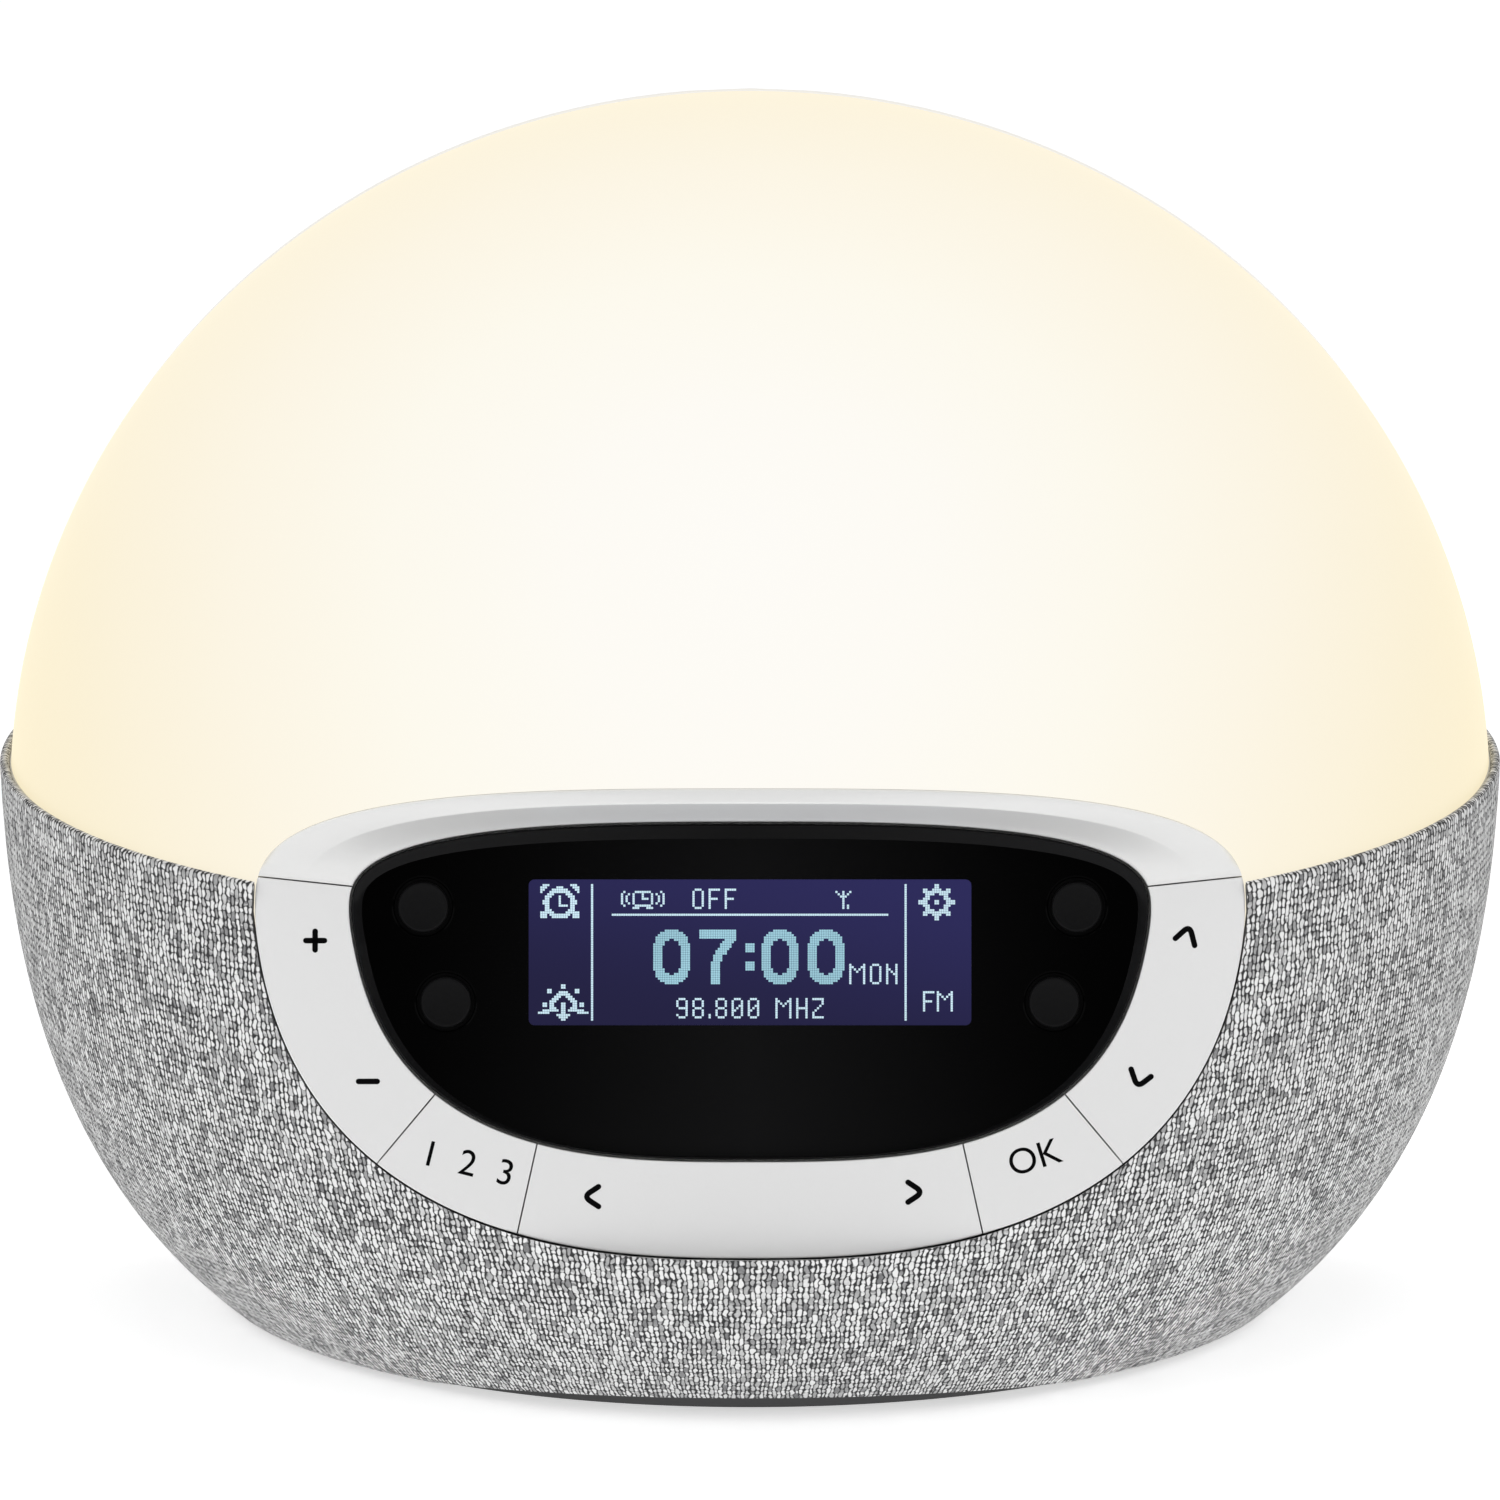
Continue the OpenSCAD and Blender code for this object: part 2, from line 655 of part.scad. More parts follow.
// One section across the hood, from the outline of the ring to the outline of the window
function hood_section(outer, inner) =
    let (rise = dome_rise(outer), across = inner - outer, span = norm(across),
        lip = min(lip_w, span / 2) / span, top = rise + lip_proud * min(1, rise / 3))
    concat(
        [[outer[0], outer[1], frame_front], [outer[0], outer[1], max(top - 1, 0)]],
        [for (a = [30, 60, 90])
            let (p = outer + across * lip * (1 - cos(a)))
            [p[0], p[1], max(top - 1, 0) + (top - max(top - 1, 0)) * sin(a)]],
        [for (k = [1:cove_steps])
            let (t = k / cove_steps, p = outer + across * (lip + (1 - lip) * t))
            [p[0], p[1], top * pow(1 - t, cove_power)]],
        [[inner[0], inner[1], frame_front]]);

module hood() {
    outer = ring_outline(0);
    inner = window_outline(key_gap);
    color("whitesmoke")
        on_panel() difference() {
            loft([for (k = [0:outline_steps / 2]) hood_section(outer[k], inner[k])]);
            on_both_sides() hood_trim();
        }
}

// Removes what of the hood lies below its joint with a side key
module hood_trim() {
    translate([joint_focus_x, 0, frame_front - 1])
        rotate([0, 0, hood_angle]) translate([0, -reach + key_gap / 2, 0]) cube([reach, reach, reach]);
}

// The ring of keys as one piece, chamfered along both edges
module key_ring() {
    difference() {
        loft([at_depth(ring_outline(0), -key_t), at_depth(ring_outline(0), -key_chamfer),
            at_depth(ring_outline(-key_chamfer), 0)]);
        loft([at_depth(window_outline(key_gap), -key_t - 1),
            at_depth(window_outline(key_gap), -key_chamfer / 2),
            at_depth(window_outline(key_gap + key_chamfer * 1.5), key_chamfer)]);
    }
}

// The joint between two keys of the ring, as a thin wall at the given angle
module joint_wall(angle) {
    translate([joint_focus_x, -key_gap / 2 * cos(angle), -key_t - 1]) rotate([0, 0, angle])
        cube([reach, key_gap, key_t + 2]);
}

module wedge(from, to) {
    translate([joint_focus_x, 0, -key_t - 1]) linear_extrude(key_t + 2)
        polygon([[0, 0], reach * [cos(from), sin(from)], reach * [cos(to), sin(to)]]);
}

module post(p) {
    translate([p[0], p[1], post_end]) cylinder(d = post_d, h = -post_end - key_t / 2, $fn = round_fn);
}

module right_side_key() {
    difference() {
        intersection() {
            key_ring();
            wedge(-corner_from, hood_angle);
        }
        joint_wall(hood_angle);
        joint_wall(-corner_from);
    }
    post(side_mark_upper);
    post(side_mark_lower);
}

module right_corner_key() {
    difference() {
        intersection() {
            key_ring();
            wedge(-corner_to, -corner_from);
        }
        joint_wall(-corner_from);
        joint_wall(-corner_to);
    }
    post(corner_mark);
}

module left_rocker() {
    color("gainsboro") on_panel() mirror([1, 0, 0]) right_side_key();
}

module right_rocker() {
    color("gainsboro") on_panel() right_side_key();
}

module preset_key() {
    color("gainsboro") on_panel() mirror([1, 0, 0]) right_corner_key();
}

module select_key() {
    color("gainsboro") on_panel() right_corner_key();
}

module bottom_rocker() {
    far = reach * [cos(corner_to), -sin(corner_to)];
    color("gainsboro") on_panel() {
        difference() {
            intersection() {
                key_ring();
                translate([0, 0, -key_t - 1]) linear_extrude(key_t + 2)
                    polygon([[-joint_focus_x, 0], [joint_focus_x, 0], [joint_focus_x + far[0], far[1]],
                        [-joint_focus_x - far[0], far[1]]]);
            }
            on_both_sides() joint_wall(-corner_to);
        }
        on_both_sides() post(bottom_mark);
    }
}

module round_button(p) {
    front = button_proud - window_sink;
    edge = 0.3;
    dish_r = button_d / 2 - 2 * edge;
    color("black") on_panel() translate([p[0], p[1], 0])
        rotate_extrude($fn = round_fn)
            polygon(concat(
                [[0, post_end], [post_d / 2, post_end], [post_d / 2, flange_top - flange_t],
                    [flange_d / 2, flange_top - flange_t], [flange_d / 2, flange_top],
                    [button_d / 2, flange_top], [button_d / 2, front - edge], [button_d / 2 - edge, front]],
                [for (k = [4:-1:0]) [dish_r * k / 4, front - button_dish * (1 - pow(k / 4, 2))]]));
}

module upper_left_button() {
    round_button([-upper_button_x, upper_button_y]);
}

module lower_left_button() {
    round_button([-lower_button_x, lower_button_y]);
}

module upper_right_button() {
    round_button([upper_button_x, upper_button_y]);
}

module lower_right_button() {
    round_button([lower_button_x, lower_button_y]);
}

module display_window() {
    flat = [for (p = oval(window_w / 2 - bevel_side, window_up - bevel_top, window_down - bevel_bottom,
        window_up_power, window_down_power, window_lean)) [p[0], p[1], -window_sink]];
    color("black") on_panel() difference() {
        loft([at_depth(window_outline(0), frame_front), at_depth(window_outline(0), -key_chamfer), flat]);
        translate([0, lcd_y, 0]) rounded_plate(lcd_w, lcd_h, lcd_corner, frame_front - 1, 1);
        for (p = buttons)
            on_both_sides() translate([p[0], p[1], 0]) {
                hole_r = button_d / 2 + button_gap;
                bevel = 2 * button_chamfer;
                translate([0, 0, frame_front - 1]) cylinder(r = hole_r, h = -frame_front + 2, $fn = round_fn);
                translate([0, 0, -window_sink - button_chamfer])
                    cylinder(r1 = hole_r, r2 = hole_r + bevel, h = bevel, $fn = round_fn);
            }
    }
}

module panel_frame() {
    marks = [side_mark_upper, side_mark_lower, corner_mark, bottom_mark];
    color("dimgray") on_panel() difference() {
        union() {
            panel_block(ring_outline(0), frame_back, frame_front);
            difference() {
                panel_block(ring_outline(0), pocket_floor, frame_back + tiny);
                panel_block(ring_outline(-frame_wall), pocket_floor - 1, frame_back + 1);
            }
            for (p = frame_bosses)
                on_both_sides() translate([p[0], p[1], pocket_floor])
                    cylinder(r = frame_boss_r, h = frame_back - pocket_floor + 1, $fn = round_fn);
            for (p = board_bosses)
                on_both_sides() translate([p[0], p[1], board_front])
                    cylinder(r = board_boss_r, h = frame_back - board_front + 1, $fn = round_fn);
            // ribs on which the rocking keys tip
            on_both_sides() translate([side_pivot[0], side_pivot[1], frame_front - tiny])
                rotate([0, 0, side_pivot_angle]) rib();
            translate([0, bottom_mark[1], frame_front - tiny]) rib();
        }
        translate([0, lcd_y, 0]) rounded_plate(lcd_frame_w + 2 * fit_gap, lcd_frame_h + 2 * fit_gap, 1,
            frame_back - 1, frame_front + 1);
        for (p = marks)
            on_both_sides() translate([p[0], p[1], frame_back - 1])
                cylinder(r = post_d / 2 + 0.6, h = frame_t + 2, $fn = round_fn);
        for (p = buttons)
            on_both_sides() translate([p[0], p[1], 0]) {
                translate([0, 0, frame_front - flange_pocket])
                    cylinder(r = flange_d / 2 + fit_gap, h = flange_pocket + 1, $fn = round_fn);
                translate([0, 0, frame_back - 1]) cylinder(r = post_d / 2 + 0.4, h = frame_t, $fn = round_fn);
            }
        for (p = frame_bosses)
            on_both_sides() translate([p[0], p[1], pocket_floor - 1])
                cylinder(r = panel_screw_r, h = frame_back - pocket_floor + 1, $fn = round_fn);
        for (p = board_bosses)
            on_both_sides() translate([p[0], p[1], board_front - 1])
                cylinder(r = key_screw_r, h = frame_back - board_front + 1, $fn = round_fn);
    }
}

module rib() {
    translate([-0.6, -2.2, 0]) cube([1.2, 4.4, -key_t - 0.1 - frame_front + tiny]);
}

module lcd_glass() {
    color("midnightblue") on_panel() translate([0, lcd_y, 0])
        rounded_plate(lcd_w - 0.2, lcd_h - 0.2, lcd_corner - 0.1, frame_front, -window_sink - 0.25);
}

module lcd_module() {
    color("silver") on_panel() translate([0, lcd_y, 0])
        rounded_plate(lcd_frame_w, lcd_frame_h, 0.7, board_front, frame_front);
}

module key_board() {
    color("darkgreen") on_panel() difference() {
        panel_block(ring_outline(-frame_wall - fit_gap), board_back, board_front);
        for (p = frame_bosses)
            on_both_sides() translate([p[0], p[1], board_back - 1])
                cylinder(r = frame_boss_r + fit_gap, h = board_t + 2, $fn = round_fn);
        for (p = board_bosses)
            on_both_sides() translate([p[0], p[1], board_back - 1])
                cylinder(r = key_screw_r + 0.2, h = board_t + 2, $fn = round_fn);
    }
}

module key_switches() {
    color("gray") on_panel()
        for (p = concat([side_mark_upper, side_mark_lower, corner_mark, bottom_mark], buttons))
            on_both_sides() translate([p[0], p[1], board_front]) {
                translate([-switch_size / 2, -switch_size / 2, 0])
                    cube([switch_size, switch_size, switch_top - switch_cap_h - board_front]);
                cylinder(d = switch_cap_d, h = switch_top - board_front, $fn = round_fn);
            }
}

module key_board_screws() {
    color("silver") on_panel()
        for (p = board_bosses)
            on_both_sides() translate([p[0], p[1], board_back])
                rotate([180, 0, 0]) screw(key_screw_r - 0.05, 4.6, 1);
}

module panel_screws() {
    color("silver") on_panel()
        for (p = frame_bosses)
            on_both_sides() translate([p[0], p[1], pocket_floor - pocket_wall])
                rotate([180, 0, 0]) screw(panel_screw_r - 0.05, 7, 1.4);
}

// ---- light ----

module reflector_tray() {
    tray_r = bowl_radius(fabric_t + shell_wall, ledge_z) - ledge_w + 4;
    slope_r = tray_r - 5;
    color("white")
        difference() {
            in_front_of(seam_y - 1)
                turned([[0, tray_well_z], [tray_well_r, tray_well_z], [slope_r, ledge_z],
                    [tray_r, ledge_z], [tray_r, ledge_z + tray_t], [slope_r, ledge_z + tray_t],
                    [tray_well_r, tray_well_z + tray_t], [0, tray_well_z + tray_t]]);
            on_panel() panel_block(ring_outline(2 * fit_gap + pocket_wall),
                pocket_floor - pocket_wall - fit_gap, reach / 2);
            translate([0, led_centre_y, tray_well_z - 1])
                rounded_plate(led_board_size[0] + 1, led_board_size[1] + 1, 1, 0, 4);
        }
}

module led_board() {
    color("white") translate([0, led_centre_y, 0])
        rounded_plate(led_board_size[0], led_board_size[1], 1, tray_well_z, tray_well_z + board_t);
}

module leds() {
    step_x = (led_board_size[0] - 8) / (led_columns - 1);
    step_y = (led_board_size[1] - 8) / (led_rows - 1);
    color("khaki")
        for (i = [0:led_columns - 1], j = [0:led_rows - 1])
            translate([(i - (led_columns - 1) / 2) * step_x, led_centre_y + (j - (led_rows - 1) / 2) * step_y,
                tray_well_z + board_t + 0.5])
                cube([led_size, led_size, 1], center = true);
}

module heat_sink() {
    pitch = (sink_size[0] - sink_fin_t) / (sink_fins - 1);
    color("silver") translate([-sink_size[0] / 2, led_centre_y - sink_size[1] / 2, tray_well_z]) {
        translate([0, 0, -sink_t]) cube([sink_size[0], sink_size[1], sink_t]);
        for (k = [0:sink_fins - 1])
            translate([k * pitch, 0, -sink_t - sink_fin_h])
                cube([sink_fin_t, sink_size[1], sink_fin_h + tiny]);
    }
}

// ---- electronics and sound ----

module main_board() {
    color("darkgreen")
        difference() {
            translate([board_x, board_y, board_z]) cube([board_size[0], board_size[1], board_t]);
            for (x = board_hole_x, y = board_hole_y)
                translate([x, y, board_z - 1])
                    cylinder(r = board_screw_r + 0.2, h = board_t + 2, $fn = round_fn);
        }
}

// Puts a part on the main board, at a place measured from the board's corner
module on_board(place) {
    translate([board_x + place[0], board_y + place[1], board_z + board_t]) children();
}

module chip(w, l, h) {
    translate([-w / 2, -l / 2, 0]) cube([w, l, h]);
}

module board_parts() {
    chip_h = 1.2;
    color("dimgray") {
        // smoothing capacitors
        for (x = [board_size[0] - 29, board_size[0] - 19])
            on_board([x, 10]) cylinder(r = 4, h = 12, $fn = round_fn);
        // coil
        on_board([26, 9]) chip(9, 9, 6);
        // processor, radio and amplifier
        on_board([20, 28]) chip(12, 12, chip_h);
        on_board([38, 26]) chip(6, 6, chip_h);
        on_board([36, 43]) chip(8, 6, chip_h);
        // socket of the ribbon cable, in the middle of the clock
        on_board([-board_x, ribbon_socket_y]) chip(ribbon_w + 3, 4, ribbon_socket_h);
    }
}

module board_screws() {
    color("silver")
        for (x = board_hole_x, y = board_hole_y)
            translate([x, y, board_z + board_t]) screw(board_screw_r - 0.05, standoff_h * 2 / 3, 1);
}

module power_jack() {
    mouth = jack_y + jack_size[1];
    color("black")
        difference() {
            translate([inlet_x - jack_size[0] / 2, jack_y, board_z + board_t]) cube(jack_size);
            difference() {
                translate([inlet_x, mouth + 1, inlet_z])
                    rotate([90, 0, 0]) cylinder(r = 3.2, h = 10, $fn = round_fn);
                translate([inlet_x, mouth, inlet_z])
                    rotate([90, 0, 0]) cylinder(r = 1, h = 12, $fn = round_fn);
            }
        }
}

module on_speaker() {
    translate([-speaker_x, speaker_y, speaker_z]) rotate([90, 0, 0]) children();
}

module speaker_frame() {
    throat_r = speaker_r * 0.5;
    throat_y = speaker_depth * 0.6;
    plate = 1.4;
    color("dimgray") on_speaker() difference() {
        rotate_extrude($fn = turn_fn)
            polygon([[speaker_r - 3, 0], [speaker_flange_r, 0], [speaker_flange_r, speaker_rim_t],
                [speaker_r - 1.7, speaker_rim_t], [throat_r + 2, throat_y], [throat_r + 2, throat_y + plate],
                [throat_r - 5, throat_y + plate], [throat_r - 5, throat_y], [throat_r, throat_y],
                [speaker_r - 3, speaker_rim_t]]);
        for (a = [45:90:315])
            rotate([0, 0, a]) translate([speaker_screw_at, 0, -1])
                cylinder(r = speaker_screw_r + 0.15, h = 2 * speaker_rim_t, $fn = round_fn);
    }
}

module speaker_cone() {
    edge_r = speaker_r - 3 - fit_gap;
    color("black") on_speaker()
        rotate_extrude($fn = turn_fn)
            polygon([[0, 8.4], [5, 9.4], [edge_r - 3.2, 1.5], [edge_r - 1.6, 0.6], [edge_r, 1.2],
                [edge_r, 1.8], [edge_r - 1.6, 1.2], [edge_r - 3.2, 2.1], [5.6, 10.2], [0, 9]]);
}

module speaker_magnet() {
    color("silver") on_speaker()
        translate([0, 0, speaker_depth * 0.6 + 1.4])
            cylinder(r = speaker_r * 0.56, h = speaker_depth * 0.4 - 1.4, $fn = turn_fn);
}

module speaker_screws() {
    color("silver") on_speaker()
        for (a = [45:90:315])
            rotate([0, 0, a]) translate([speaker_screw_at, 0, speaker_rim_t])
                screw(speaker_screw_r, speaker_rim_t + rear_wall / 2 - 0.1, 0.8);
}

module aerial_grommet() {
    color("black") translate([grommet_x, rear_y - rear_wall, grommet_z]) rotate([-90, 0, 0])
        rotate_extrude($fn = round_fn)
            polygon([[aerial_r, -1.2], [grommet_r + 1.2, -1.2], [grommet_r + 1.2, 0],
                [grommet_r - 0.05, 0], [grommet_r - 0.05, rear_wall], [grommet_r + 1.2, rear_wall],
                [grommet_r + 0.8, rear_wall + 0.9], [aerial_r, rear_wall + 0.9]]);
}

// Where a point of the panel's middle plane lies in the plane of y and z
function panel_yz(up, depth) =
    [panel_inset - body_r + up * sin(panel_tilt) - depth * cos(panel_tilt),
     rim_z - panel_drop + up * cos(panel_tilt) + depth * sin(panel_tilt)];

function bezier(p, t) =
    p[0] * pow(1 - t, 3) + 3 * p[1] * t * pow(1 - t, 2) + 3 * p[2] * t * t * (1 - t) + p[3] * pow(t, 3);

function bezier_side(p, t) =
    let (d = (p[1] - p[0]) * pow(1 - t, 2) + 2 * (p[2] - p[1]) * t * (1 - t) + (p[3] - p[2]) * t * t)
    [-d[1], d[0]] / norm(d);

// Flat cable from the back of the key board, through the pocket, down to its socket
module ribbon_cable() {
    socket = [board_y + ribbon_socket_y, board_z + board_t + ribbon_socket_h];
    path = [panel_yz(lcd_y - 5, board_back), panel_yz(lcd_y - 5, board_back - 28), socket + [0, 26], socket];
    color("white") translate([-ribbon_w / 2, 0, 0]) rotate([90, 0, 90]) linear_extrude(ribbon_w)
        polygon(concat([for (k = [0:ribbon_steps]) bezier(path, k / ribbon_steps)],
            [for (k = [ribbon_steps:-1:0])
                bezier(path, k / ribbon_steps) + bezier_side(path, k / ribbon_steps) * ribbon_t]));
}

diffuser_dome();
base_shell();
fabric_cover();
rear_cover();
base_plate();
rubber_foot();
base_screws();
rear_screws();
hood();
panel_frame();
display_window();
left_rocker();
preset_key();
bottom_rocker();
select_key();
right_rocker();
upper_left_button();
lower_left_button();
upper_right_button();
lower_right_button();
lcd_glass();
lcd_module();
key_board();
key_switches();
key_board_screws();
panel_screws();
reflector_tray();
led_board();
leds();
heat_sink();
main_board();
board_parts();
board_screws();
power_jack();
speaker_frame();
speaker_cone();
speaker_magnet();
speaker_screws();
aerial_grommet();
ribbon_cable();
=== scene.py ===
import json
from math import asin, atan2, cos, hypot, pi, radians, sin, sqrt

import bmesh
import bpy
from mathutils import Matrix, Vector


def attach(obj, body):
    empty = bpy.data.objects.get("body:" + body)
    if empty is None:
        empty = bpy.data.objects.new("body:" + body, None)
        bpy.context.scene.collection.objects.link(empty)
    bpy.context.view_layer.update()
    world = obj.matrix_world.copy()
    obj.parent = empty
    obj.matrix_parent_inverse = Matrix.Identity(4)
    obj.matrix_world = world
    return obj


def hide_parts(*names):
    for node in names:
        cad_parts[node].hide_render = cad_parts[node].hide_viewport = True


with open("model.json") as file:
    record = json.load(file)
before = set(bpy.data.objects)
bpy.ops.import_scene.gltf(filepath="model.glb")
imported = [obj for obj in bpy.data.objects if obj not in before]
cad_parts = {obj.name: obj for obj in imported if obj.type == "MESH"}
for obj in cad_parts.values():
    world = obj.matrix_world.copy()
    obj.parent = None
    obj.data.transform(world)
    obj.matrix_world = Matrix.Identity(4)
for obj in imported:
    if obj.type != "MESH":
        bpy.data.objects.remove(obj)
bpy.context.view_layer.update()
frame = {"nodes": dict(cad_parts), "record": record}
nodes = frame["nodes"]

# ---- sizes in millimetres, most of them those of the part's source ----
BODY_R = 105.0
BODY_H = 169.0
RIM_Z = 76.0
SEAM_Y = 16.0
REAR_Y = 22.0
REAR_ROUND = 4.5
REAR_WALL = 2.4

BOWL_RISE = 19.0
BOWL_DEPTH = 17.0
BOWL_POWER = 2.77
FABRIC_T = 1.3
FABRIC_ROLL = 0.7
FABRIC_HEM = 0.6
SHELL_WALL = 2.6
SKIRT_Z = 1.3
# The cloth's lower edge lies on a plane that is highest at the front
LIFT_R = 75.0
LIFT_Z = 3.1
LIFT_SLOPE = 0.125

# The foot's flat underside, with the screws' places round it in degrees
FOOT_IN = 3.2
FOOT_T = 1.1
FOOT_BEVEL = (0.5, 0.4)
FOOT_FOLD = (0.8, 0.1)
FOOT_HOLE = 3.6
FOOT_SCREWS, FOOT_SCREWS_IN = (-45, -135, 3, 177), 6.0
# The foot's rim: how far it lies inside the cloth's surface, starts below its skirt, keeps off the bowl
# and under the cloth's edge, and what it is made too high before it is cut along that edge
FOOT_RIM_IN = 0.6
FOOT_RIM_DROP = 0.15
FOOT_RIM_BACK = 0.02
FOOT_RIM_CLEAR = 0.05
FOOT_RIM_SPARE = 0.5

DOME_DROP = 5.0
DOME_GAP = 0.12
DOME_WALL = 2.4
TONGUE_H = 7.0
TONGUE_T = 2.2
TONGUE_ROOT = 3.0

REAR_OVERLAP = 1.2
REAR_INNER_ROUND, REAR_INNER_CHAMFER = 0.6, 0.3
# The rear cover's edge at the seam as (share of its wall, distance behind the seam)
REAR_LIP = ((0, 0), (0.3, 0.1), (0.6, 0.2), (1, 0.3))
REAR_HOLES = ((38.0, 19.4, 5.0), (62.0, 30.0, 2.6))
SCREW_HEIGHTS, SCREW_IN = (19.0, 57.0), 8.0
# A rear screw's hole as (radius, depth below the back), from the inside out
SCREW_HOLE = ((1.7, 8.0), (1.7, 1.2), (3.2, 1.2), (3.2, 0.2), (3.5, -0.1), (3.5, -2.0))
SOUND_X, SOUND_Z, SOUND_R = -46.0, 34.0, 20.0
SLOTS, SLOT_W, SLOT_ROUND = 11, 2.0, 0.49

PANEL_TILT = radians(13.5)
PANEL_INSET = 25.0
PANEL_DROP = 3.3
# The opening for the panel is cut from behind it to well before it
PANEL_CUT = (-40, 60)
RING_HALF, RING_UP, RING_DOWN = 67.5, 16.5, 47.3
RING_UP_POWER, RING_DOWN_POWER, RING_LEAN = 3.2, 2.6, 0.09
WINDOW_HALF, WINDOW_UP, WINDOW_DOWN = 54.35, 11.9, 33.85
WINDOW_UP_POWER, WINDOW_DOWN_POWER, WINDOW_LEAN = 2.9, 3.0, 0.11
LEAN_START = 0.06
FRAME_FRONT = -3.6
POST_END = -6.7

KEY_T = 2.6
KEY_EDGE = 0.3
KEY_INNER_EDGE = 0.2
KEY_HOLD = 0.15
KEY_RAISE = 0.001
KEY_GAP = 0.35
JOINT_LINE = 0.2
JOINT_FOCUS = 22.0
HOOD_ANGLE, CORNER_FROM, CORNER_TO = radians(6), radians(-50), radians(-77.5)
LIP_SHARE = 0.48
LIP_PROUD = 0.6
LIP_ROLL = 1.0
# Where the dome rises less than this over the panel, the lip runs out
LIP_FADE = 3.0
CREST_ROUND, CREST_ROUND_MORE = 0.02, 0.28
COVE_POWER = 1.3
COVE_FOOT = 0.4
COVE_TURN = 0.9
FIT_GAP = 0.3
HOOD_GAP = 0.05
SEAM_GAP = FIT_GAP / 3

WINDOW_SINK = 1.6
RIM_TOP = -0.42
RIM_EDGE = 0.25
BEVEL_TOP, BEVEL_SIDE, BEVEL_BOTTOM = 2.0, 1.4, 0.4
LCD_W, LCD_H, LCD_Y, LCD_CORNER = 60.4, 19.9, -5.6, 0.8
LCD_SINK = 0.25
LCD_FIT = 0.02
BUTTON_R = 3.45
BUTTON_GAP = 0.5
BUTTON_PROUD = 0.6
BUTTON_EDGE = 0.35
BUTTON_HOLLOW = 0.16
# The mouth round a button as (radius past its hole, depth below the window)
BUTTON_MOUTH = ((0.35, 0.0), (0.1, 0.12), (0.0, 0.3))
FLANGE_R, FLANGE_T = 4.85, 0.6
BUTTON_PLACES = {
    "upper_left_button": (-44.6, 0.6),
    "lower_left_button": (-41.5, -12.4),
    "upper_right_button": (44.6, 0.6),
    "lower_right_button": (41.5, -12.4),
}
POST_R = 1.7
SIDE_MARKS = ((59.0, -4.1), (52.3, -23.3))
CORNER_MARK = (38.4, -34.3)
BOTTOM_MARK = (22.0, -38.9)

# How finely the pieces are divided
OUTLINE_STEPS = 320
TURN_STEPS = 288
BUTTON_STEPS = 64
HOLE_STEPS = 72
COVE_STEPS = 14
LIP_STEPS = 6
DISH_STEPS = 6
BOWL_STEPS, DOME_STEPS, INNER_STEPS, ROLL_STEPS = 72, 64, 24, 12
REAR_BOWL_STEPS, FOOT_RIM_STEPS = 48, 8

# ---- what follows from them ----
MM = 0.001
IN_METRES = Matrix.Scale(MM, 4)
BOWL_TOP = RIM_Z + BOWL_RISE
BOWL_B = BOWL_TOP + BOWL_DEPTH
BOWL_A = BODY_R / (1 - (BOWL_RISE / BOWL_B) ** BOWL_POWER) ** (1 / BOWL_POWER)
DOME_R = BODY_R - FABRIC_T - DOME_GAP
DOME_Z = RIM_Z - DOME_DROP
DOME_C = BODY_H - DOME_Z
PANEL_Y = PANEL_INSET - BODY_R
PANEL_Z = RIM_Z - PANEL_DROP

# The panel's own axes: x to the right, y up the panel, z out of it
PANEL = IN_METRES @ Matrix((
    (1, 0, 0, 0),
    (0, sin(PANEL_TILT), -cos(PANEL_TILT), PANEL_Y),
    (0, cos(PANEL_TILT), sin(PANEL_TILT), PANEL_Z),
    (0, 0, 0, 1),
))


# ---- curves ----

def bowl_radius(inset, z):
    """Radius at height z of a surface that lies inset inside the fabric."""
    fall = (BOWL_TOP - z) / (BOWL_B - inset)
    return (BOWL_A - inset) * (1 - fall ** BOWL_POWER) ** (1 / BOWL_POWER)


def bowl_line(inset, low, high, steps):
    """Points (radius, height) up the bowl's curve, closer together near its foot."""
    heights = [low + (high - low) * (k / steps) ** 1.5 for k in range(steps + 1)]
    return [(bowl_radius(inset, z), z) for z in heights]


def dome_line(inset, low, steps, y=0.0):
    """Points (radius, height) up the dome's curve, to the top or to the plane at y."""
    start = asin((low - DOME_Z) / (DOME_C - inset))
    end = pi / 2 - asin(y / (DOME_R - inset))
    angles = [start + (end - start) * k / steps for k in range(steps + 1)]
    return [((DOME_R - inset) * cos(a), DOME_Z + (DOME_C - inset) * sin(a)) for a in angles]


def oval(half, up, down, up_power, down_power, side_lean):
    """A rounded outline, widest at y = 0, with its own height and fullness above and below.

    Below that line its sides lean in as they fall."""
    points = []
    for k in range(OUTLINE_STEPS):
        a = 2 * pi * k / OUTLINE_STEPS
        high = k <= OUTLINE_STEPS // 2
        power = up_power if high else down_power
        grow = (abs(cos(a)) ** power + abs(sin(a)) ** power) ** (-1 / power)
        lean = 0 if high else side_lean * (hypot(sin(a) * grow, LEAN_START) - LEAN_START)
        points.append((half * cos(a) * grow * (1 - lean), (up if high else down) * sin(a) * grow))
    return points


def ring_outline(out):
    return oval(RING_HALF + out, RING_UP + out, RING_DOWN + out, RING_UP_POWER, RING_DOWN_POWER, RING_LEAN)


def window_outline(out):
    return oval(WINDOW_HALF + out, WINDOW_UP + out, WINDOW_DOWN + out,
                WINDOW_UP_POWER, WINDOW_DOWN_POWER, WINDOW_LEAN)


def circle(x, y, r, steps=BUTTON_STEPS):
    return [(x + r * cos(2 * pi * k / steps), y + r * sin(2 * pi * k / steps)) for k in range(steps)]


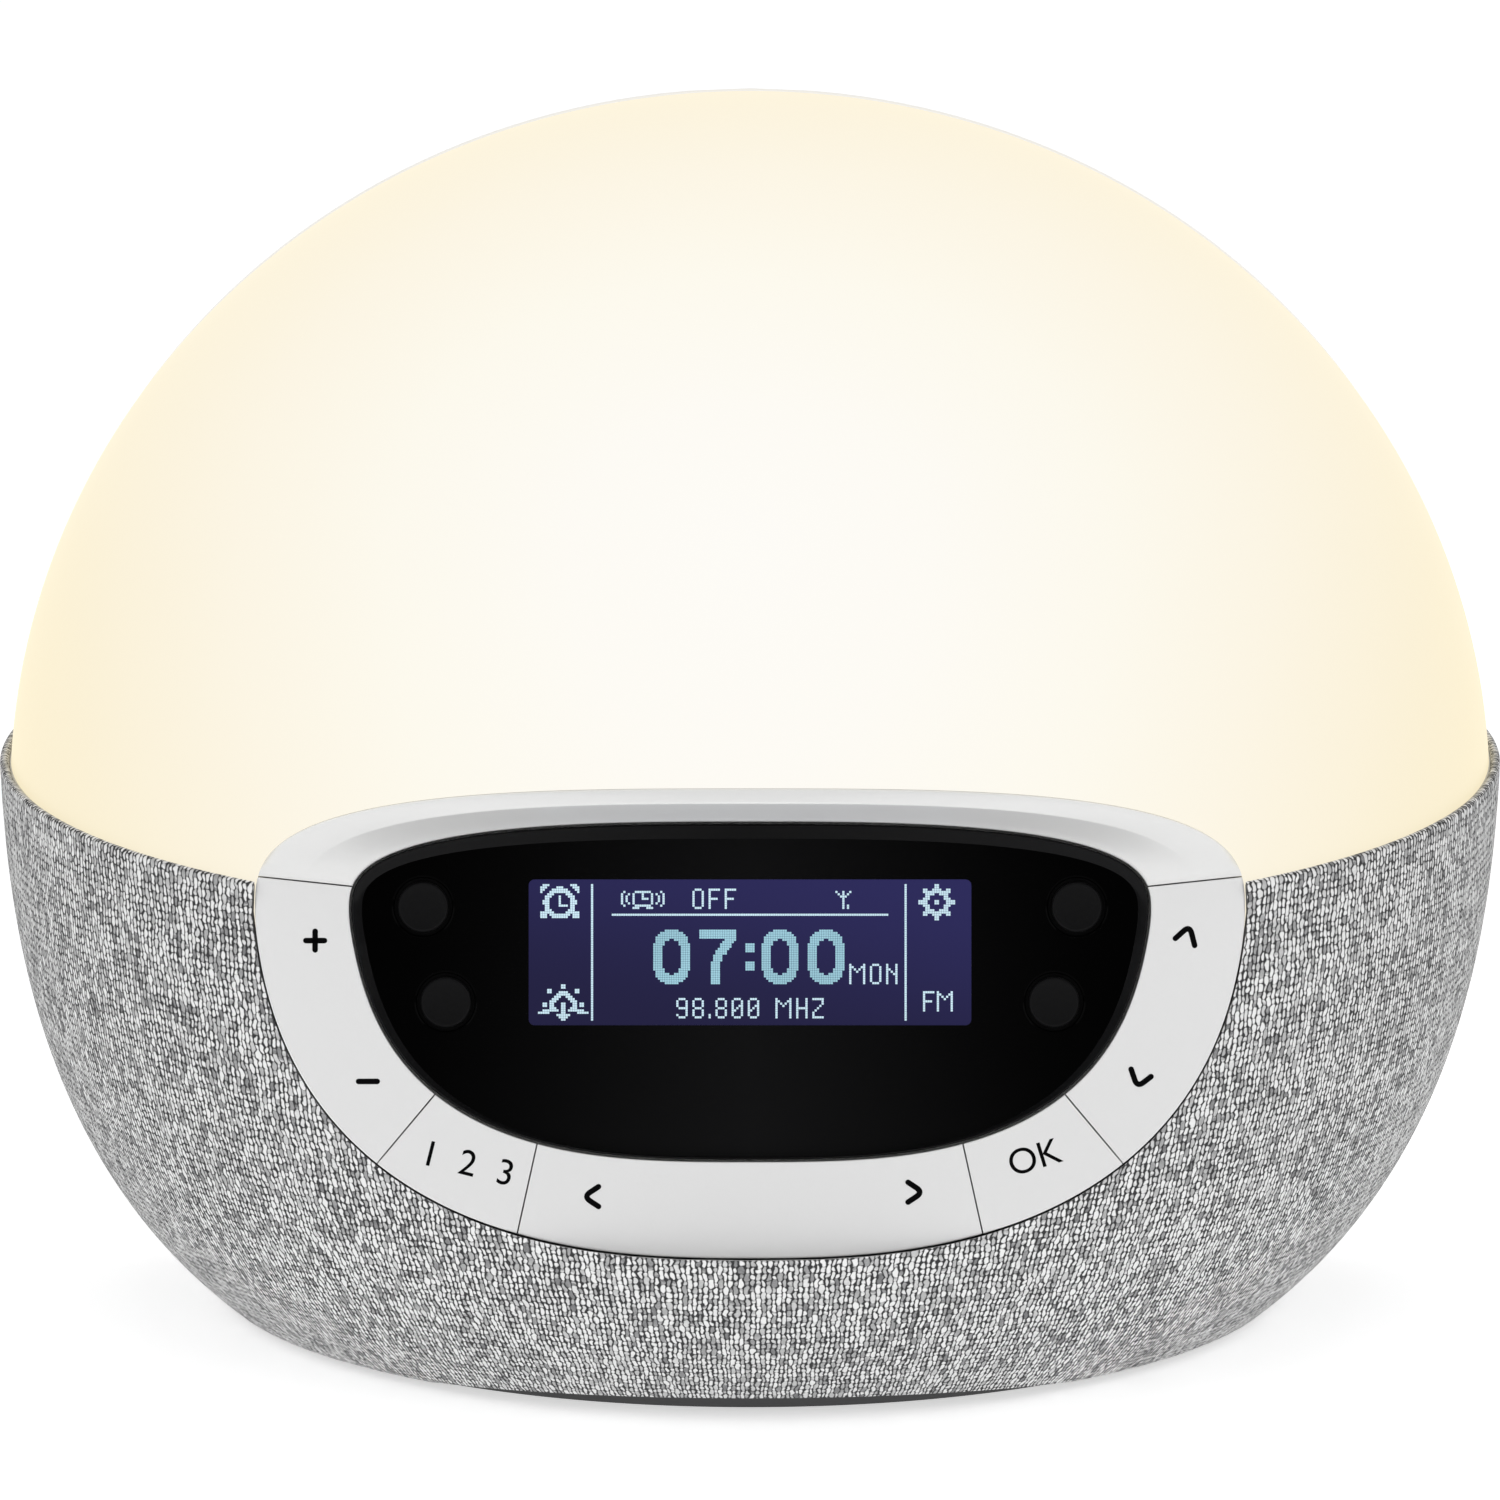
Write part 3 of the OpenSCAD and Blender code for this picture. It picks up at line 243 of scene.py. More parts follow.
def rounded_box(x, y, w, h, corner, steps=6):
    """Outline of a rectangle about (x, y) with round corners."""
    points = []
    for quarter, (sx, sy) in enumerate(((1, 1), (-1, 1), (-1, -1), (1, -1))):
        for k in range(steps + 1):
            a = (quarter + k / steps) * pi / 2
            points.append((x + sx * (w / 2 - corner) + corner * cos(a),
                           y + sy * (h / 2 - corner) + corner * sin(a)))
    return points


def at_depth(outline, depth):
    return [(x, y, depth) for x, y in outline]


def round_edge(radius, steps=6):
    """Steps (inset, drop) over a rounded edge, from its side to its top."""
    angles = [pi / 2 * k / steps for k in range(steps + 1)]
    return [(radius * (1 - cos(a)), radius * (1 - sin(a))) for a in angles]


def soften(points, corner, reach, steps=5):
    """The line with one corner turned into a small curve."""
    tip = Vector(points[corner])
    before = tip + (Vector(points[corner - 1]) - tip).normalized() * reach
    after = tip + (Vector(points[corner + 1]) - tip).normalized() * reach
    curve = []
    for k in range(steps + 1):
        t = k / steps
        curve.append(tuple(before * (1 - t) ** 2 + tip * 2 * t * (1 - t) + after * t * t))
    return points[:corner] + curve + points[corner + 1:]


# ---- mesh work ----

def add_loop(bm, points):
    """A closed loop of edges through the points."""
    verts = [bm.verts.new(p) for p in points]
    return [bm.edges.new((a, b)) for a, b in zip(verts, verts[1:] + verts[:1])]


def bridge(bm, loops, closed=False):
    """Faces from each loop to the next, and from the last to the first if closed."""
    pairs = list(zip(loops, loops[1:]))
    if closed:
        pairs.append((loops[-1], loops[0]))
    for a, b in pairs:
        bmesh.ops.bridge_loops(bm, edges=a + b)


def fill(bm, edges):
    bmesh.ops.triangle_fill(bm, edges=edges, use_beauty=True)


def skin(bm, rings):
    """A closed skin through rings of points, flat at both ends."""
    loops = [add_loop(bm, ring) for ring in rings]
    bridge(bm, loops)
    fill(bm, loops[0])
    fill(bm, loops[-1])


def slab(bm, outline, low, high):
    """A closed slab with one outline, from one depth to another."""
    skin(bm, [at_depth(outline, low), at_depth(outline, high)])


def turn(bm, profile, steps=TURN_STEPS, run=None):
    """Spins a closed profile of (radius, height) about the z axis.

    The layer run, where there is one, keeps how far along the profile each point lies."""
    verts = [bm.verts.new((0, -r, z)) for r, z in profile]
    if run is not None:
        length = 0.0
        for vert, before, after in zip(verts[1:], profile, profile[1:]):
            length += hypot(after[0] - before[0], after[1] - before[1])
            vert[run] = length
    edges = [bm.edges.new((a, b)) for a, b in zip(verts, verts[1:] + verts[:1])]
    bmesh.ops.spin(bm, geom=verts + edges, cent=(0, 0, 0), axis=(0, 0, 1), angle=2 * pi,
                   steps=steps, use_merge=True, use_duplicate=False)
    bmesh.ops.remove_doubles(bm, verts=bm.verts, dist=1e-5)


def cut(bm, point, normal):
    """Removes what lies behind the plane and closes the cut."""
    geom = bm.verts[:] + bm.edges[:] + bm.faces[:]
    made = bmesh.ops.bisect_plane(bm, geom=geom, dist=1e-5, plane_co=point, plane_no=normal,
                                  clear_inner=True)
    edges = [g for g in made["geom_cut"] if isinstance(g, bmesh.types.BMEdge)]
    bmesh.ops.edgeloop_fill(bm, edges=edges)


def cut_at_seam(bm):
    """Removes what would reach behind the seam, into the rear cover."""
    cut(bm, (0, SEAM_Y - SEAM_GAP, 0), (0, -1, 0))


def make_object(bm, name, place):
    bmesh.ops.transform(bm, matrix=place, verts=bm.verts)
    mesh = bpy.data.meshes.new(name)
    bm.to_mesh(mesh)
    bm.free()
    obj = bpy.data.objects.new(name, mesh)
    bpy.context.scene.collection.objects.link(obj)
    return obj


def settle(obj, material, slot, body="case", replaced=(), sharp=35):
    """Shades a finished piece, gives it its material and lets it ride on its body."""
    obj.data.materials.clear()
    obj.data.materials.append(material)
    obj.data.shade_smooth()
    obj.data.set_sharp_from_angle(angle=radians(sharp))
    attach(obj, body)
    if replaced:
        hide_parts(*replaced)
    return obj


def piece(bm, name, material, slot, place=IN_METRES, **rest):
    """Closes a mesh in millimetres and makes it a piece of the clock."""
    bmesh.ops.remove_doubles(bm, verts=bm.verts, dist=1e-4)
    bmesh.ops.recalc_face_normals(bm, faces=bm.faces)
    return settle(make_object(bm, name, place), material, slot, **rest)


def carve(obj, bm, place):
    """Takes the closed shapes of a mesh away from an object."""
    bmesh.ops.recalc_face_normals(bm, faces=bm.faces)
    tool = make_object(bm, "tool", place)
    modifier = obj.modifiers.new("carve", "BOOLEAN")
    modifier.operation = "DIFFERENCE"
    modifier.solver = "EXACT"
    modifier.object = tool
    cut_mesh = bpy.data.meshes.new_from_object(
        obj.evaluated_get(bpy.context.evaluated_depsgraph_get()))
    obj.modifiers.clear()
    whole = obj.data
    obj.data = cut_mesh
    cut_mesh.name = whole.name
    bpy.data.meshes.remove(whole)
    bpy.data.objects.remove(tool)


def cut_out_panel(obj, gap):
    """Cuts the room for the ring of keys out of a shell."""
    bm = bmesh.new()
    slab(bm, ring_outline(gap), *PANEL_CUT)
    carve(obj, bm, PANEL)


# ---- shader helpers ----

def add_node(tree, kind, inputs=None, **settings):
    """A shader node with its settings, and its inputs linked or set."""
    node = tree.nodes.new("ShaderNode" + kind)
    for name, value in settings.items():
        setattr(node, name, value)
    for name, value in (inputs or {}).items():
        if isinstance(value, bpy.types.NodeSocket):
            tree.links.new(value, node.inputs[name])
        else:
            node.inputs[name].default_value = value
    return node


def calc(tree, operation, a, b=0.0, c=0.0):
    return add_node(tree, "Math", {0: a, 1: b, 2: c}, operation=operation).outputs[0]


def blend(tree, factor, a, b):
    """Mixes two colours."""
    node = add_node(tree, "Mix", {"Factor": factor, "A": a, "B": b}, data_type="RGBA")
    return node.outputs[2]


def span(tree, value, low, high, to_low=0.0, to_high=1.0):
    """Carries a value smoothly from one range to another."""
    return add_node(tree, "MapRange", {0: value, 1: low, 2: high, 3: to_low, 4: to_high},
                    interpolation_type="SMOOTHSTEP").outputs[0]


def noise(tree, vector, scale, detail=2.0, roughness=0.5):
    return add_node(tree, "TexNoise", {"Vector": vector, "Scale": scale, "Detail": detail,
                                       "Roughness": roughness}).outputs["Fac"]


def object_place(tree):
    return add_node(tree, "TexCoord").outputs["Object"]


def along_axis(tree, place, axis):
    """How far a place lies along an axis."""
    return add_node(tree, "VectorMath", {0: place, 1: axis}, operation="DOT_PRODUCT").outputs["Value"]


def new_group(name, inputs, outputs):
    """A node group with its sockets, each given as (name, kind, value)."""
    tree = bpy.data.node_groups.new(name, "ShaderNodeTree")
    for label, kind, value in inputs:
        socket = tree.interface.new_socket(label, in_out="INPUT", socket_type="NodeSocket" + kind)
        if value is not None:
            socket.default_value = value
    for label, kind in outputs:
        tree.interface.new_socket(label, in_out="OUTPUT", socket_type="NodeSocket" + kind)
    start = tree.nodes.new("NodeGroupInput")
    end = tree.nodes.new("NodeGroupOutput")
    return tree, start.outputs, end.inputs


def use_group(tree, group, inputs):
    node = add_node(tree, "Group", node_tree=group)
    for name, value in inputs.items():
        if isinstance(value, bpy.types.NodeSocket):
            tree.links.new(value, node.inputs[name])
        else:
            node.inputs[name].default_value = value
    return node.outputs


def new_material(name, **settings):
    """A material with one Principled shader; the settings go straight onto its sockets."""
    material = bpy.data.materials.new(name)
    material.use_nodes = True
    tree = material.node_tree
    tree.nodes.clear()
    shader = add_node(tree, "BsdfPrincipled", {k.replace("_", " "): v for k, v in settings.items()})
    tree.links.new(shader.outputs[0], add_node(tree, "OutputMaterial").inputs[0])
    return material, tree, shader


def bump(tree, shader, height, strength, distance):
    node = add_node(tree, "Bump", {"Height": height, "Strength": strength, "Distance": distance})
    tree.links.new(node.outputs[0], shader.inputs["Normal"])


# ---- shared effects ----

# How many clouds and specks of dust there are to a metre
CLOUD_SCALE, DUST_SCALE = 28.0, 420.0
# How much rougher the grain's heights and the dust are
GRAIN_ROUGHNESS, DUST_ROUGHNESS = 0.12, 0.05


def make_moulded():
    """Moulded plastic: fine grain, faint flow clouds and a little dust."""
    tree, start, end = new_group(
        "moulded_grain",
        [("Vector", "Vector", None), ("Colour", "Color", None), ("Grain", "Float", 900.0),
         ("Clouds", "Float", 0.03), ("Roughness", "Float", 0.4)],
        [("Colour", "Color"), ("Roughness", "Float"), ("Height", "Float")])
    grain = noise(tree, start["Vector"], start["Grain"], 3.0, 0.6)
    clouds = noise(tree, start["Vector"], CLOUD_SCALE, 3.0, 0.55)
    dust = span(tree, noise(tree, start["Vector"], DUST_SCALE, 4.0, 0.7), 0.6, 0.8)
    shade = calc(tree, "MULTIPLY_ADD", calc(tree, "SUBTRACT", clouds, 0.5), start["Clouds"], 1.0)
    fine = calc(tree, "MULTIPLY_ADD", calc(tree, "SUBTRACT", grain, 0.5), start["Clouds"], shade)
    tinted = add_node(tree, "VectorMath", {0: start["Colour"], 1: fine}, operation="MULTIPLY").outputs[0]
    rough = calc(tree, "MULTIPLY_ADD", calc(tree, "SUBTRACT", grain, 0.5), GRAIN_ROUGHNESS,
                 start["Roughness"])
    tree.links.new(tinted, end["Colour"])
    tree.links.new(calc(tree, "MULTIPLY_ADD", dust, DUST_ROUGHNESS, rough), end["Roughness"])
    tree.links.new(grain, end["Height"])
    return tree


def cell_chance(tree, x, y, kind):
    """A chance value for each cell of a grid."""
    cell = add_node(tree, "CombineXYZ", {0: calc(tree, "FLOOR", x), 1: calc(tree, "FLOOR", y), 2: kind})
    return add_node(tree, "TexWhiteNoise", {"Vector": cell.outputs[0]}).outputs["Value"]


def yarn_run(tree, x, y):
    """Longer light and dark stretches along a thread."""
    place = add_node(tree, "CombineXYZ", {0: x, 1: y}).outputs[0]
    return add_node(tree, "TexNoise", {"Vector": place, "Scale": 1.0, "Detail": 1.0},
                    noise_dimensions="2D").outputs["Fac"]


def float_height(tree, u, width, t, length, power):
    """Height of an oval float of yarn, 1 in its middle and 0 at its edge."""
    side = calc(tree, "POWER", calc(tree, "DIVIDE", calc(tree, "ABSOLUTE", u), width), 2.0)
    end = calc(tree, "POWER", calc(tree, "DIVIDE", calc(tree, "ABSOLUTE", t), length), power)
    left = calc(tree, "SUBTRACT", 1.0, calc(tree, "ADD", side, end))
    return calc(tree, "SQRT", calc(tree, "MAXIMUM", left, 0.0))


# Half the size of a warp float, as a share of its cell: the least, and what chance adds
WARP_WIDTH, WARP_LENGTH = (0.35, 0.20), (0.28, 0.12)
# Half the size of a weft float as a share of its cell, and its height; being lower, it is also darkened
# more by the painted shade between threads
WEFT_WIDTH, WEFT_LENGTH, WEFT_HEIGHT = 0.46, 0.22, 0.85
# How far the threads wander: (scale, reach in millimetres)
WANDER = ((0.15, 0.9), (0.8, 0.7))
# How much of a float's tone is its thread's, how drawn out a thread's tones are along it, and how far
# apart two threads lie in their noise, for warp and weft
RUN_SHARE, RUN_STRETCH, WARP_APART, WEFT_APART = 1.1, 0.12, 7.31, 5.77
# The heights over which the painted shade in the gaps between threads passes into the yarn's own tone
GAP_SHADE_HEIGHTS = (0.27, 0.8)


def make_weave():
    """Plain weave on a map in millimetres: oval floats of light and dark yarn, with shade painted between
    them and round their low edges.
    """
    tree, start, end = new_group(
        "plain_weave",
        [("Vector", "Vector", None), ("Warp Pitch", "Float", 0.82), ("Weft Pitch", "Float", 1.15),
         ("Mottle", "Float", 0.5)],
        [("Shade", "Float"), ("Gap", "Float"), ("Height", "Float")])
    # the threads wander a little
    moved = start["Vector"]
    for scale, reach in WANDER:
        stray = add_node(tree, "TexNoise", {"Vector": start["Vector"], "Scale": scale, "Detail": 1.0},
                         noise_dimensions="2D").outputs["Color"]
        moved = add_node(tree, "VectorMath", {0: stray, 1: (reach, reach, 0.0), 2: moved},
                         operation="MULTIPLY_ADD").outputs[0]
    flat = add_node(tree, "SeparateXYZ", {0: moved}).outputs
    across = calc(tree, "DIVIDE", flat["X"], start["Warp Pitch"])
    along = calc(tree, "DIVIDE", flat["Y"], start["Weft Pitch"])
    column = calc(tree, "FLOOR", across)
    # each second crossing the warp lies on top, and the weft at those between
    half = calc(tree, "MULTIPLY", calc(tree, "ADD", along, column), 0.5)
    u = calc(tree, "SUBTRACT", calc(tree, "FRACT", across), 0.5)
    t = calc(tree, "SUBTRACT", calc(tree, "FRACT", half), 0.5)
    between = calc(tree, "SUBTRACT", 0.5, calc(tree, "ABSOLUTE", t))
    plump = cell_chance(tree, column, half, 3.0)
    wide, long = (calc(tree, "MULTIPLY_ADD", plump, more, least)
                  for least, more in (WARP_WIDTH, WARP_LENGTH))
    warp_up = float_height(tree, u, wide, t, long, 3.0)
    weft_up = float_height(tree, u, WEFT_WIDTH, between, WEFT_LENGTH, 2.5)
    weft_up = calc(tree, "MULTIPLY", weft_up, WEFT_HEIGHT)
    height = calc(tree, "MAXIMUM", warp_up, weft_up)
    # each float has its own tone, and so has each stretch of a thread
    warp_run = yarn_run(tree, calc(tree, "MULTIPLY", column, WARP_APART),
                        calc(tree, "MULTIPLY", flat["Y"], RUN_STRETCH))
    weft_run = yarn_run(tree, calc(tree, "MULTIPLY", flat["X"], RUN_STRETCH),
                        calc(tree, "MULTIPLY", calc(tree, "FLOOR", along), WEFT_APART))
    warp_tone = calc(tree, "MULTIPLY_ADD", warp_run, RUN_SHARE, cell_chance(tree, column, half, 1.0))
    weft_tone = calc(tree, "MULTIPLY_ADD", weft_run, RUN_SHARE,
                     cell_chance(tree, column, calc(tree, "ADD", half, 0.5), 7.0))
    on_top = calc(tree, "GREATER_THAN", warp_up, weft_up)
    tone = add_node(tree, "Mix", {0: on_top, 2: weft_tone, 3: warp_tone}, data_type="FLOAT").outputs[0]
    middle = calc(tree, "ADD", start["Mottle"], RUN_SHARE / 2)
    light = span(tree, tone, calc(tree, "SUBTRACT", middle, 0.5), calc(tree, "ADD", middle, 0.6))
    fibre = noise(tree, moved, 3.2, 2.0, 0.7)
    shade = calc(tree, "MULTIPLY_ADD", calc(tree, "SUBTRACT", fibre, 0.5), 0.4, light)
    tree.links.new(shade, end["Shade"])
    # painted shade: the gap mask darkens the yarn where the floats are low, at their edges and between them
    tree.links.new(span(tree, height, *GAP_SHADE_HEIGHTS), end["Gap"])
    tree.links.new(calc(tree, "MULTIPLY_ADD", fibre, 0.25, height), end["Height"])
    return tree


MOULDED = make_moulded()
WEAVE = make_weave()


# ---- materials ----

def plastic(name, colour, roughness=0.4, grain=900.0, clouds=0.03, relief=0.15, **settings):
    """Moulded plastic in one colour."""
    material, tree, shader = new_material(name, **settings)
    out = use_group(tree, MOULDED, {"Vector": object_place(tree), "Colour": (*colour, 1.0),
                                    "Grain": grain, "Clouds": clouds, "Roughness": roughness})
    tree.links.new(out["Colour"], shader.inputs["Base Color"])
    tree.links.new(out["Roughness"], shader.inputs["Roughness"])
    bump(tree, shader, out["Height"], relief, 0.0002)
    return material


def metal(name, colour, roughness=0.3, stretch=(1.0, 1.0, 12.0), scale=300.0):
    """Metal with fine drawn lines."""
    material, tree, shader = new_material(name, Metallic=1.0)
    lines = add_node(tree, "Mapping", {"Vector": object_place(tree), "Scale": stretch}).outputs[0]
    streak = noise(tree, lines, scale, 4.0, 0.7)
    tone = blend(tree, span(tree, streak, 0.3, 0.7), (*[c * 0.8 for c in colour], 1.0), (*colour, 1.0))
    tree.links.new(tone, shader.inputs["Base Color"])
    tree.links.new(calc(tree, "MULTIPLY_ADD", streak, 0.25, roughness - 0.12), shader.inputs["Roughness"])
    bump(tree, shader, streak, 0.1, 0.0001)
    return material


# The glow is brightest at this height along its axis, in metres, and spreads this far aside and above;
# below that height it fades more slowly
GLOW_AXIS, GLOW_HEIGHT = (0.0, 0.2216, 0.975), 0.104
GLOW_ASIDE, GLOW_ABOVE, GLOW_BELOW = 0.103, 0.075, 0.55
GLOW_END = 1.05
# How bright the dome is (red, green, blue) at a distance from the middle of its glow
DOME_TONES = (
    (0.0, 0.991, 0.973, 0.930), (0.25, 0.988, 0.965, 0.910), (0.5, 0.985, 0.953, 0.855),
    (0.7, 0.980, 0.922, 0.785), (0.85, 0.970, 0.893, 0.712), (0.95, 0.955, 0.865, 0.650),
    (GLOW_END, 0.930, 0.830, 0.590),
)
# What the lamps' light adds to the glow, and is taken from it here
DOME_SHEEN = 0.06


def glowing_dome():
    """Opal plastic lit from behind: nearly white in the middle, cream towards the edges."""
    material, tree, shader = new_material(
        "dome_glow", Base_Color=(0.05, 0.05, 0.05, 1.0), Specular_IOR_Level=0.15, Emission_Strength=1.0)
    place = object_place(tree)
    up = along_axis(tree, place, GLOW_AXIS)
    aside = add_node(tree, "SeparateXYZ", {0: place}).outputs["X"]
    above = calc(tree, "SUBTRACT", up, GLOW_HEIGHT)
    above = calc(tree, "MAXIMUM", above, calc(tree, "MULTIPLY", above, -GLOW_BELOW))
    spread = add_node(tree, "CombineXYZ", {0: calc(tree, "DIVIDE", aside, GLOW_ASIDE),
                                           1: calc(tree, "DIVIDE", above, GLOW_ABOVE)}).outputs[0]
    far = add_node(tree, "VectorMath", {0: spread}, operation="LENGTH").outputs["Value"]
    cloud = calc(tree, "MULTIPLY_ADD", noise(tree, place, 22.0, 3.0), 0.03, far)
    ramp = add_node(tree, "ValToRGB", {0: calc(tree, "DIVIDE", cloud, GLOW_END)})
    stops = ramp.color_ramp.elements
    stops.remove(stops[1])
    for k, (position, *colour) in enumerate(DOME_TONES):
        stop = stops.new(position / GLOW_END) if k else stops[0]
        stop.color = (*[c - DOME_SHEEN for c in colour], 1.0)
    tree.links.new(ramp.outputs[0], shader.inputs["Emission Color"])
    out = use_group(tree, MOULDED, {"Vector": place, "Grain": 1500.0, "Roughness": 0.55})
    tree.links.new(out["Roughness"], shader.inputs["Roughness"])
    bump(tree, shader, out["Height"], 0.08, 0.0001)
    return material


# The painted glow on the rear cover, emission that stands for the dome's light showing through it: it fades
# from the first distance behind the axis to the second, and grows from the first height to the second, in
# metres
SEAM_GLOW = 0.35
GLOW_FADES, GLOW_GROWS = (0.0165, 0.0215), (0.07, 0.09)


def rear_plastic():
    """White plastic with a painted glow beside the seam, emission that stands for the dome's light showing
    through.
    """
    material = plastic("rear_plastic", (0.76, 0.76, 0.755), 0.42, grain=1100.0, relief=0.14)
    tree = material.node_tree
    shader = next(node for node in tree.nodes if node.type == "BSDF_PRINCIPLED")
    place = add_node(tree, "SeparateXYZ", {0: object_place(tree)}).outputs
    near = span(tree, place["Y"], GLOW_FADES[1], GLOW_FADES[0])
    # painted glow: emission near the seam, growing higher up
    glow = calc(tree, "MULTIPLY", near, span(tree, place["Z"], *GLOW_GROWS, 0.0, SEAM_GLOW))
    tree.links.new(glow, shader.inputs["Emission Strength"])
    shader.inputs["Emission Color"].default_value = (1.0, 0.93, 0.78, 1.0)
    return material


def woven_cover():
    """Mottled grey plain weave over the bowl, with painted shade between its threads."""
    material, tree, shader = new_material(
        "heather_weave", Roughness=0.9, Specular_IOR_Level=0.1, Sheen_Weight=0.1, Sheen_Roughness=0.5)
    place = add_node(tree, "UVMap", uv_map="threads").outputs[0]
    cloth = use_group(tree, WEAVE, {"Vector": place, "Mottle": 0.18})
    yarn = blend(tree, cloth["Shade"], (0.20, 0.201, 0.206, 1.0), (0.88, 0.88, 0.88, 1.0))
    # painted shade between the threads and at the floats' low edges
    gaps = blend(tree, cloth["Gap"], (0.04, 0.04, 0.042, 1.0), yarn)
    tree.links.new(gaps, shader.inputs["Base Color"])
    bump(tree, shader, cloth["Height"], 0.5, 0.0003)
    return material


# Distances from the window's middle line, in metres, over which the painted reflection in its black changes
LENS_SIDE, LENS_MIDDLE = 0.056, -0.02


def lens_with_painted_reflection(name, middle, side, specular):
    """Gloss over a black with a painted reflection, whose tone changes from the window's middle to its
    sides.
    """
    material, tree, shader = new_material(name, Specular_IOR_Level=specular)
    place = object_place(tree)
    aside = calc(tree, "ABSOLUTE", add_node(tree, "SeparateXYZ", {0: place}).outputs["X"])
    smear = noise(tree, place, 35.0, 4.0, 0.6)
    deep = calc(tree, "MULTIPLY_ADD", smear, 0.006, aside)
    # painted reflection: the black's tone goes from the middle's to the side's with distance from the
    # middle line
    shade = span(tree, deep, LENS_SIDE, LENS_MIDDLE, side, middle)
    black = add_node(tree, "CombineColor", {0: shade, 1: shade, 2: calc(tree, "MULTIPLY", shade, 1.05)})
    tree.links.new(black.outputs[0], shader.inputs["Base Color"])
    tree.links.new(span(tree, smear, 0.35, 0.7, 0.06, 0.12), shader.inputs["Roughness"])
    return material


def display_field():
    """The unlit ground of the display: indigo, lighter towards its top right."""
    material, tree, shader = new_material(
        "display_field", Base_Color=(0.001, 0.001, 0.003, 1.0), Specular_IOR_Level=0.03, Roughness=0.25,
        Emission_Strength=1.0)
    place = object_place(tree)
    rise = span(tree, along_axis(tree, place, (6.0, 0.0, 30.0)), 1.6, 2.5)
    glow = calc(tree, "MULTIPLY_ADD", calc(tree, "SUBTRACT", noise(tree, place, 60.0, 2.0), 0.5), 0.1, rise)
    tone = blend(tree, glow, (0.0160, 0.0145, 0.0500, 1.0), (0.026, 0.024, 0.102, 1.0))
    tree.links.new(tone, shader.inputs["Emission Color"])
    return material


def display_light(name, colour):
    """Lit dots of the display."""
    material, tree, shader = new_material(
        name, Base_Color=(0.02, 0.025, 0.03, 1.0), Roughness=0.5, Emission_Strength=1.0)
    uneven = span(tree, noise(tree, object_place(tree), 120.0, 2.0), 0.3, 0.7)
    low, high = ((*[c * level for c in colour], 1.0) for level in (0.93, 1.05))
    tree.links.new(blend(tree, uneven, low, high), shader.inputs["Emission Color"])
    return material


def circuit(name, colour, trace):
    """Circuit board: solder mask over copper tracks."""
    material, tree, shader = new_material(name, Roughness=0.35)
    place = object_place(tree)
    cells = add_node(tree, "TexVoronoi", {"Vector": place, "Scale": 160.0}, distance="MANHATTAN",
                     feature="F1").outputs["Distance"]
    tracks = span(tree, calc(tree, "PINGPONG", cells, 0.12), 0.05, 0.07)
    tone = blend(tree, tracks, (*colour, 1.0), (*trace, 1.0))
    tree.links.new(tone, shader.inputs["Base Color"])
    bump(tree, shader, tracks, 0.3, 0.00005)
    return material


FINISHES = {
    "dome_plastic": glowing_dome(),
    "shell_plastic": plastic("shell_plastic", (0.58, 0.58, 0.57), 0.5),
    "woven_fabric": woven_cover(),
    "white_plastic": plastic("white_plastic", (0.76, 0.76, 0.755), 0.38, grain=1100.0, clouds=0.02,
                             relief=0.12),
    "key_plastic": plastic("key_plastic", (0.74, 0.74, 0.74), 0.42, grain=1300.0, clouds=0.015,
                           relief=0.08, Specular_IOR_Level=0.35),
    "black_plastic": plastic("black_plastic", (0.012, 0.012, 0.013), 0.5, grain=800.0, clouds=0.2),
    "button_plastic": plastic("button_plastic", (0.004, 0.004, 0.0043), 0.38, grain=1500.0, clouds=0.2,
                              relief=0.2, Specular_IOR_Level=0.06),
    # the window's black is painted lighter in its middle, a painted reflection
    "black_gloss": lens_with_painted_reflection("lens_with_painted_reflection", 0.0072, 0.0001, 0.02),
    "display_glass": display_field(),
    "foot_rubber": plastic("foot_rubber", (0.036, 0.036, 0.037), 0.8, grain=500.0, clouds=0.3, relief=0.3),
    "grommet_rubber": plastic("grommet_rubber", (0.016, 0.016, 0.017), 0.7, grain=700.0, clouds=0.2,
                              relief=0.2),
    "dark_screws": metal("dark_screws", (0.08, 0.08, 0.085), 0.4),
    "bright_screws": metal("bright_screws", (0.62, 0.61, 0.58), 0.28),
    "bright_metal": metal("bright_metal", (0.7, 0.7, 0.7), 0.3, stretch=(12.0, 1.0, 1.0)),
    "painted_steel": plastic("painted_steel", (0.02, 0.02, 0.022), 0.45, grain=300.0, clouds=0.2),
    "magnet_iron": metal("magnet_iron", (0.42, 0.42, 0.43), 0.45, stretch=(1.0, 1.0, 1.0), scale=600.0),
    "cone_paper": plastic("cone_paper", (0.025, 0.024, 0.024), 0.85, grain=350.0, clouds=0.5, relief=0.5),
    "circuit_board": circuit("circuit_board", (0.008, 0.06, 0.025), (0.02, 0.12, 0.05)),
    "white_board": circuit("white_board", (0.7, 0.7, 0.68), (0.62, 0.6, 0.55)),
    "led_resin": plastic("led_resin", (0.75, 0.6, 0.2), 0.3, grain=700.0, clouds=0.1),
    "sink_aluminium": metal("sink_aluminium", (0.66, 0.67, 0.68), 0.35, stretch=(1.0, 14.0, 1.0)),
    "chip_plastic": plastic("chip_plastic", (0.02, 0.02, 0.021), 0.5, clouds=0.2),
    "ribbon_plastic": plastic("ribbon_plastic", (0.62, 0.62, 0.6), 0.35, grain=500.0, clouds=0.1),
}
INK = plastic("key_ink", (0.002, 0.002, 0.0022), 0.6, grain=1200.0, clouds=0.2, relief=0.05,
              Specular_IOR_Level=0.02)
REAR_FINISH = rear_plastic()
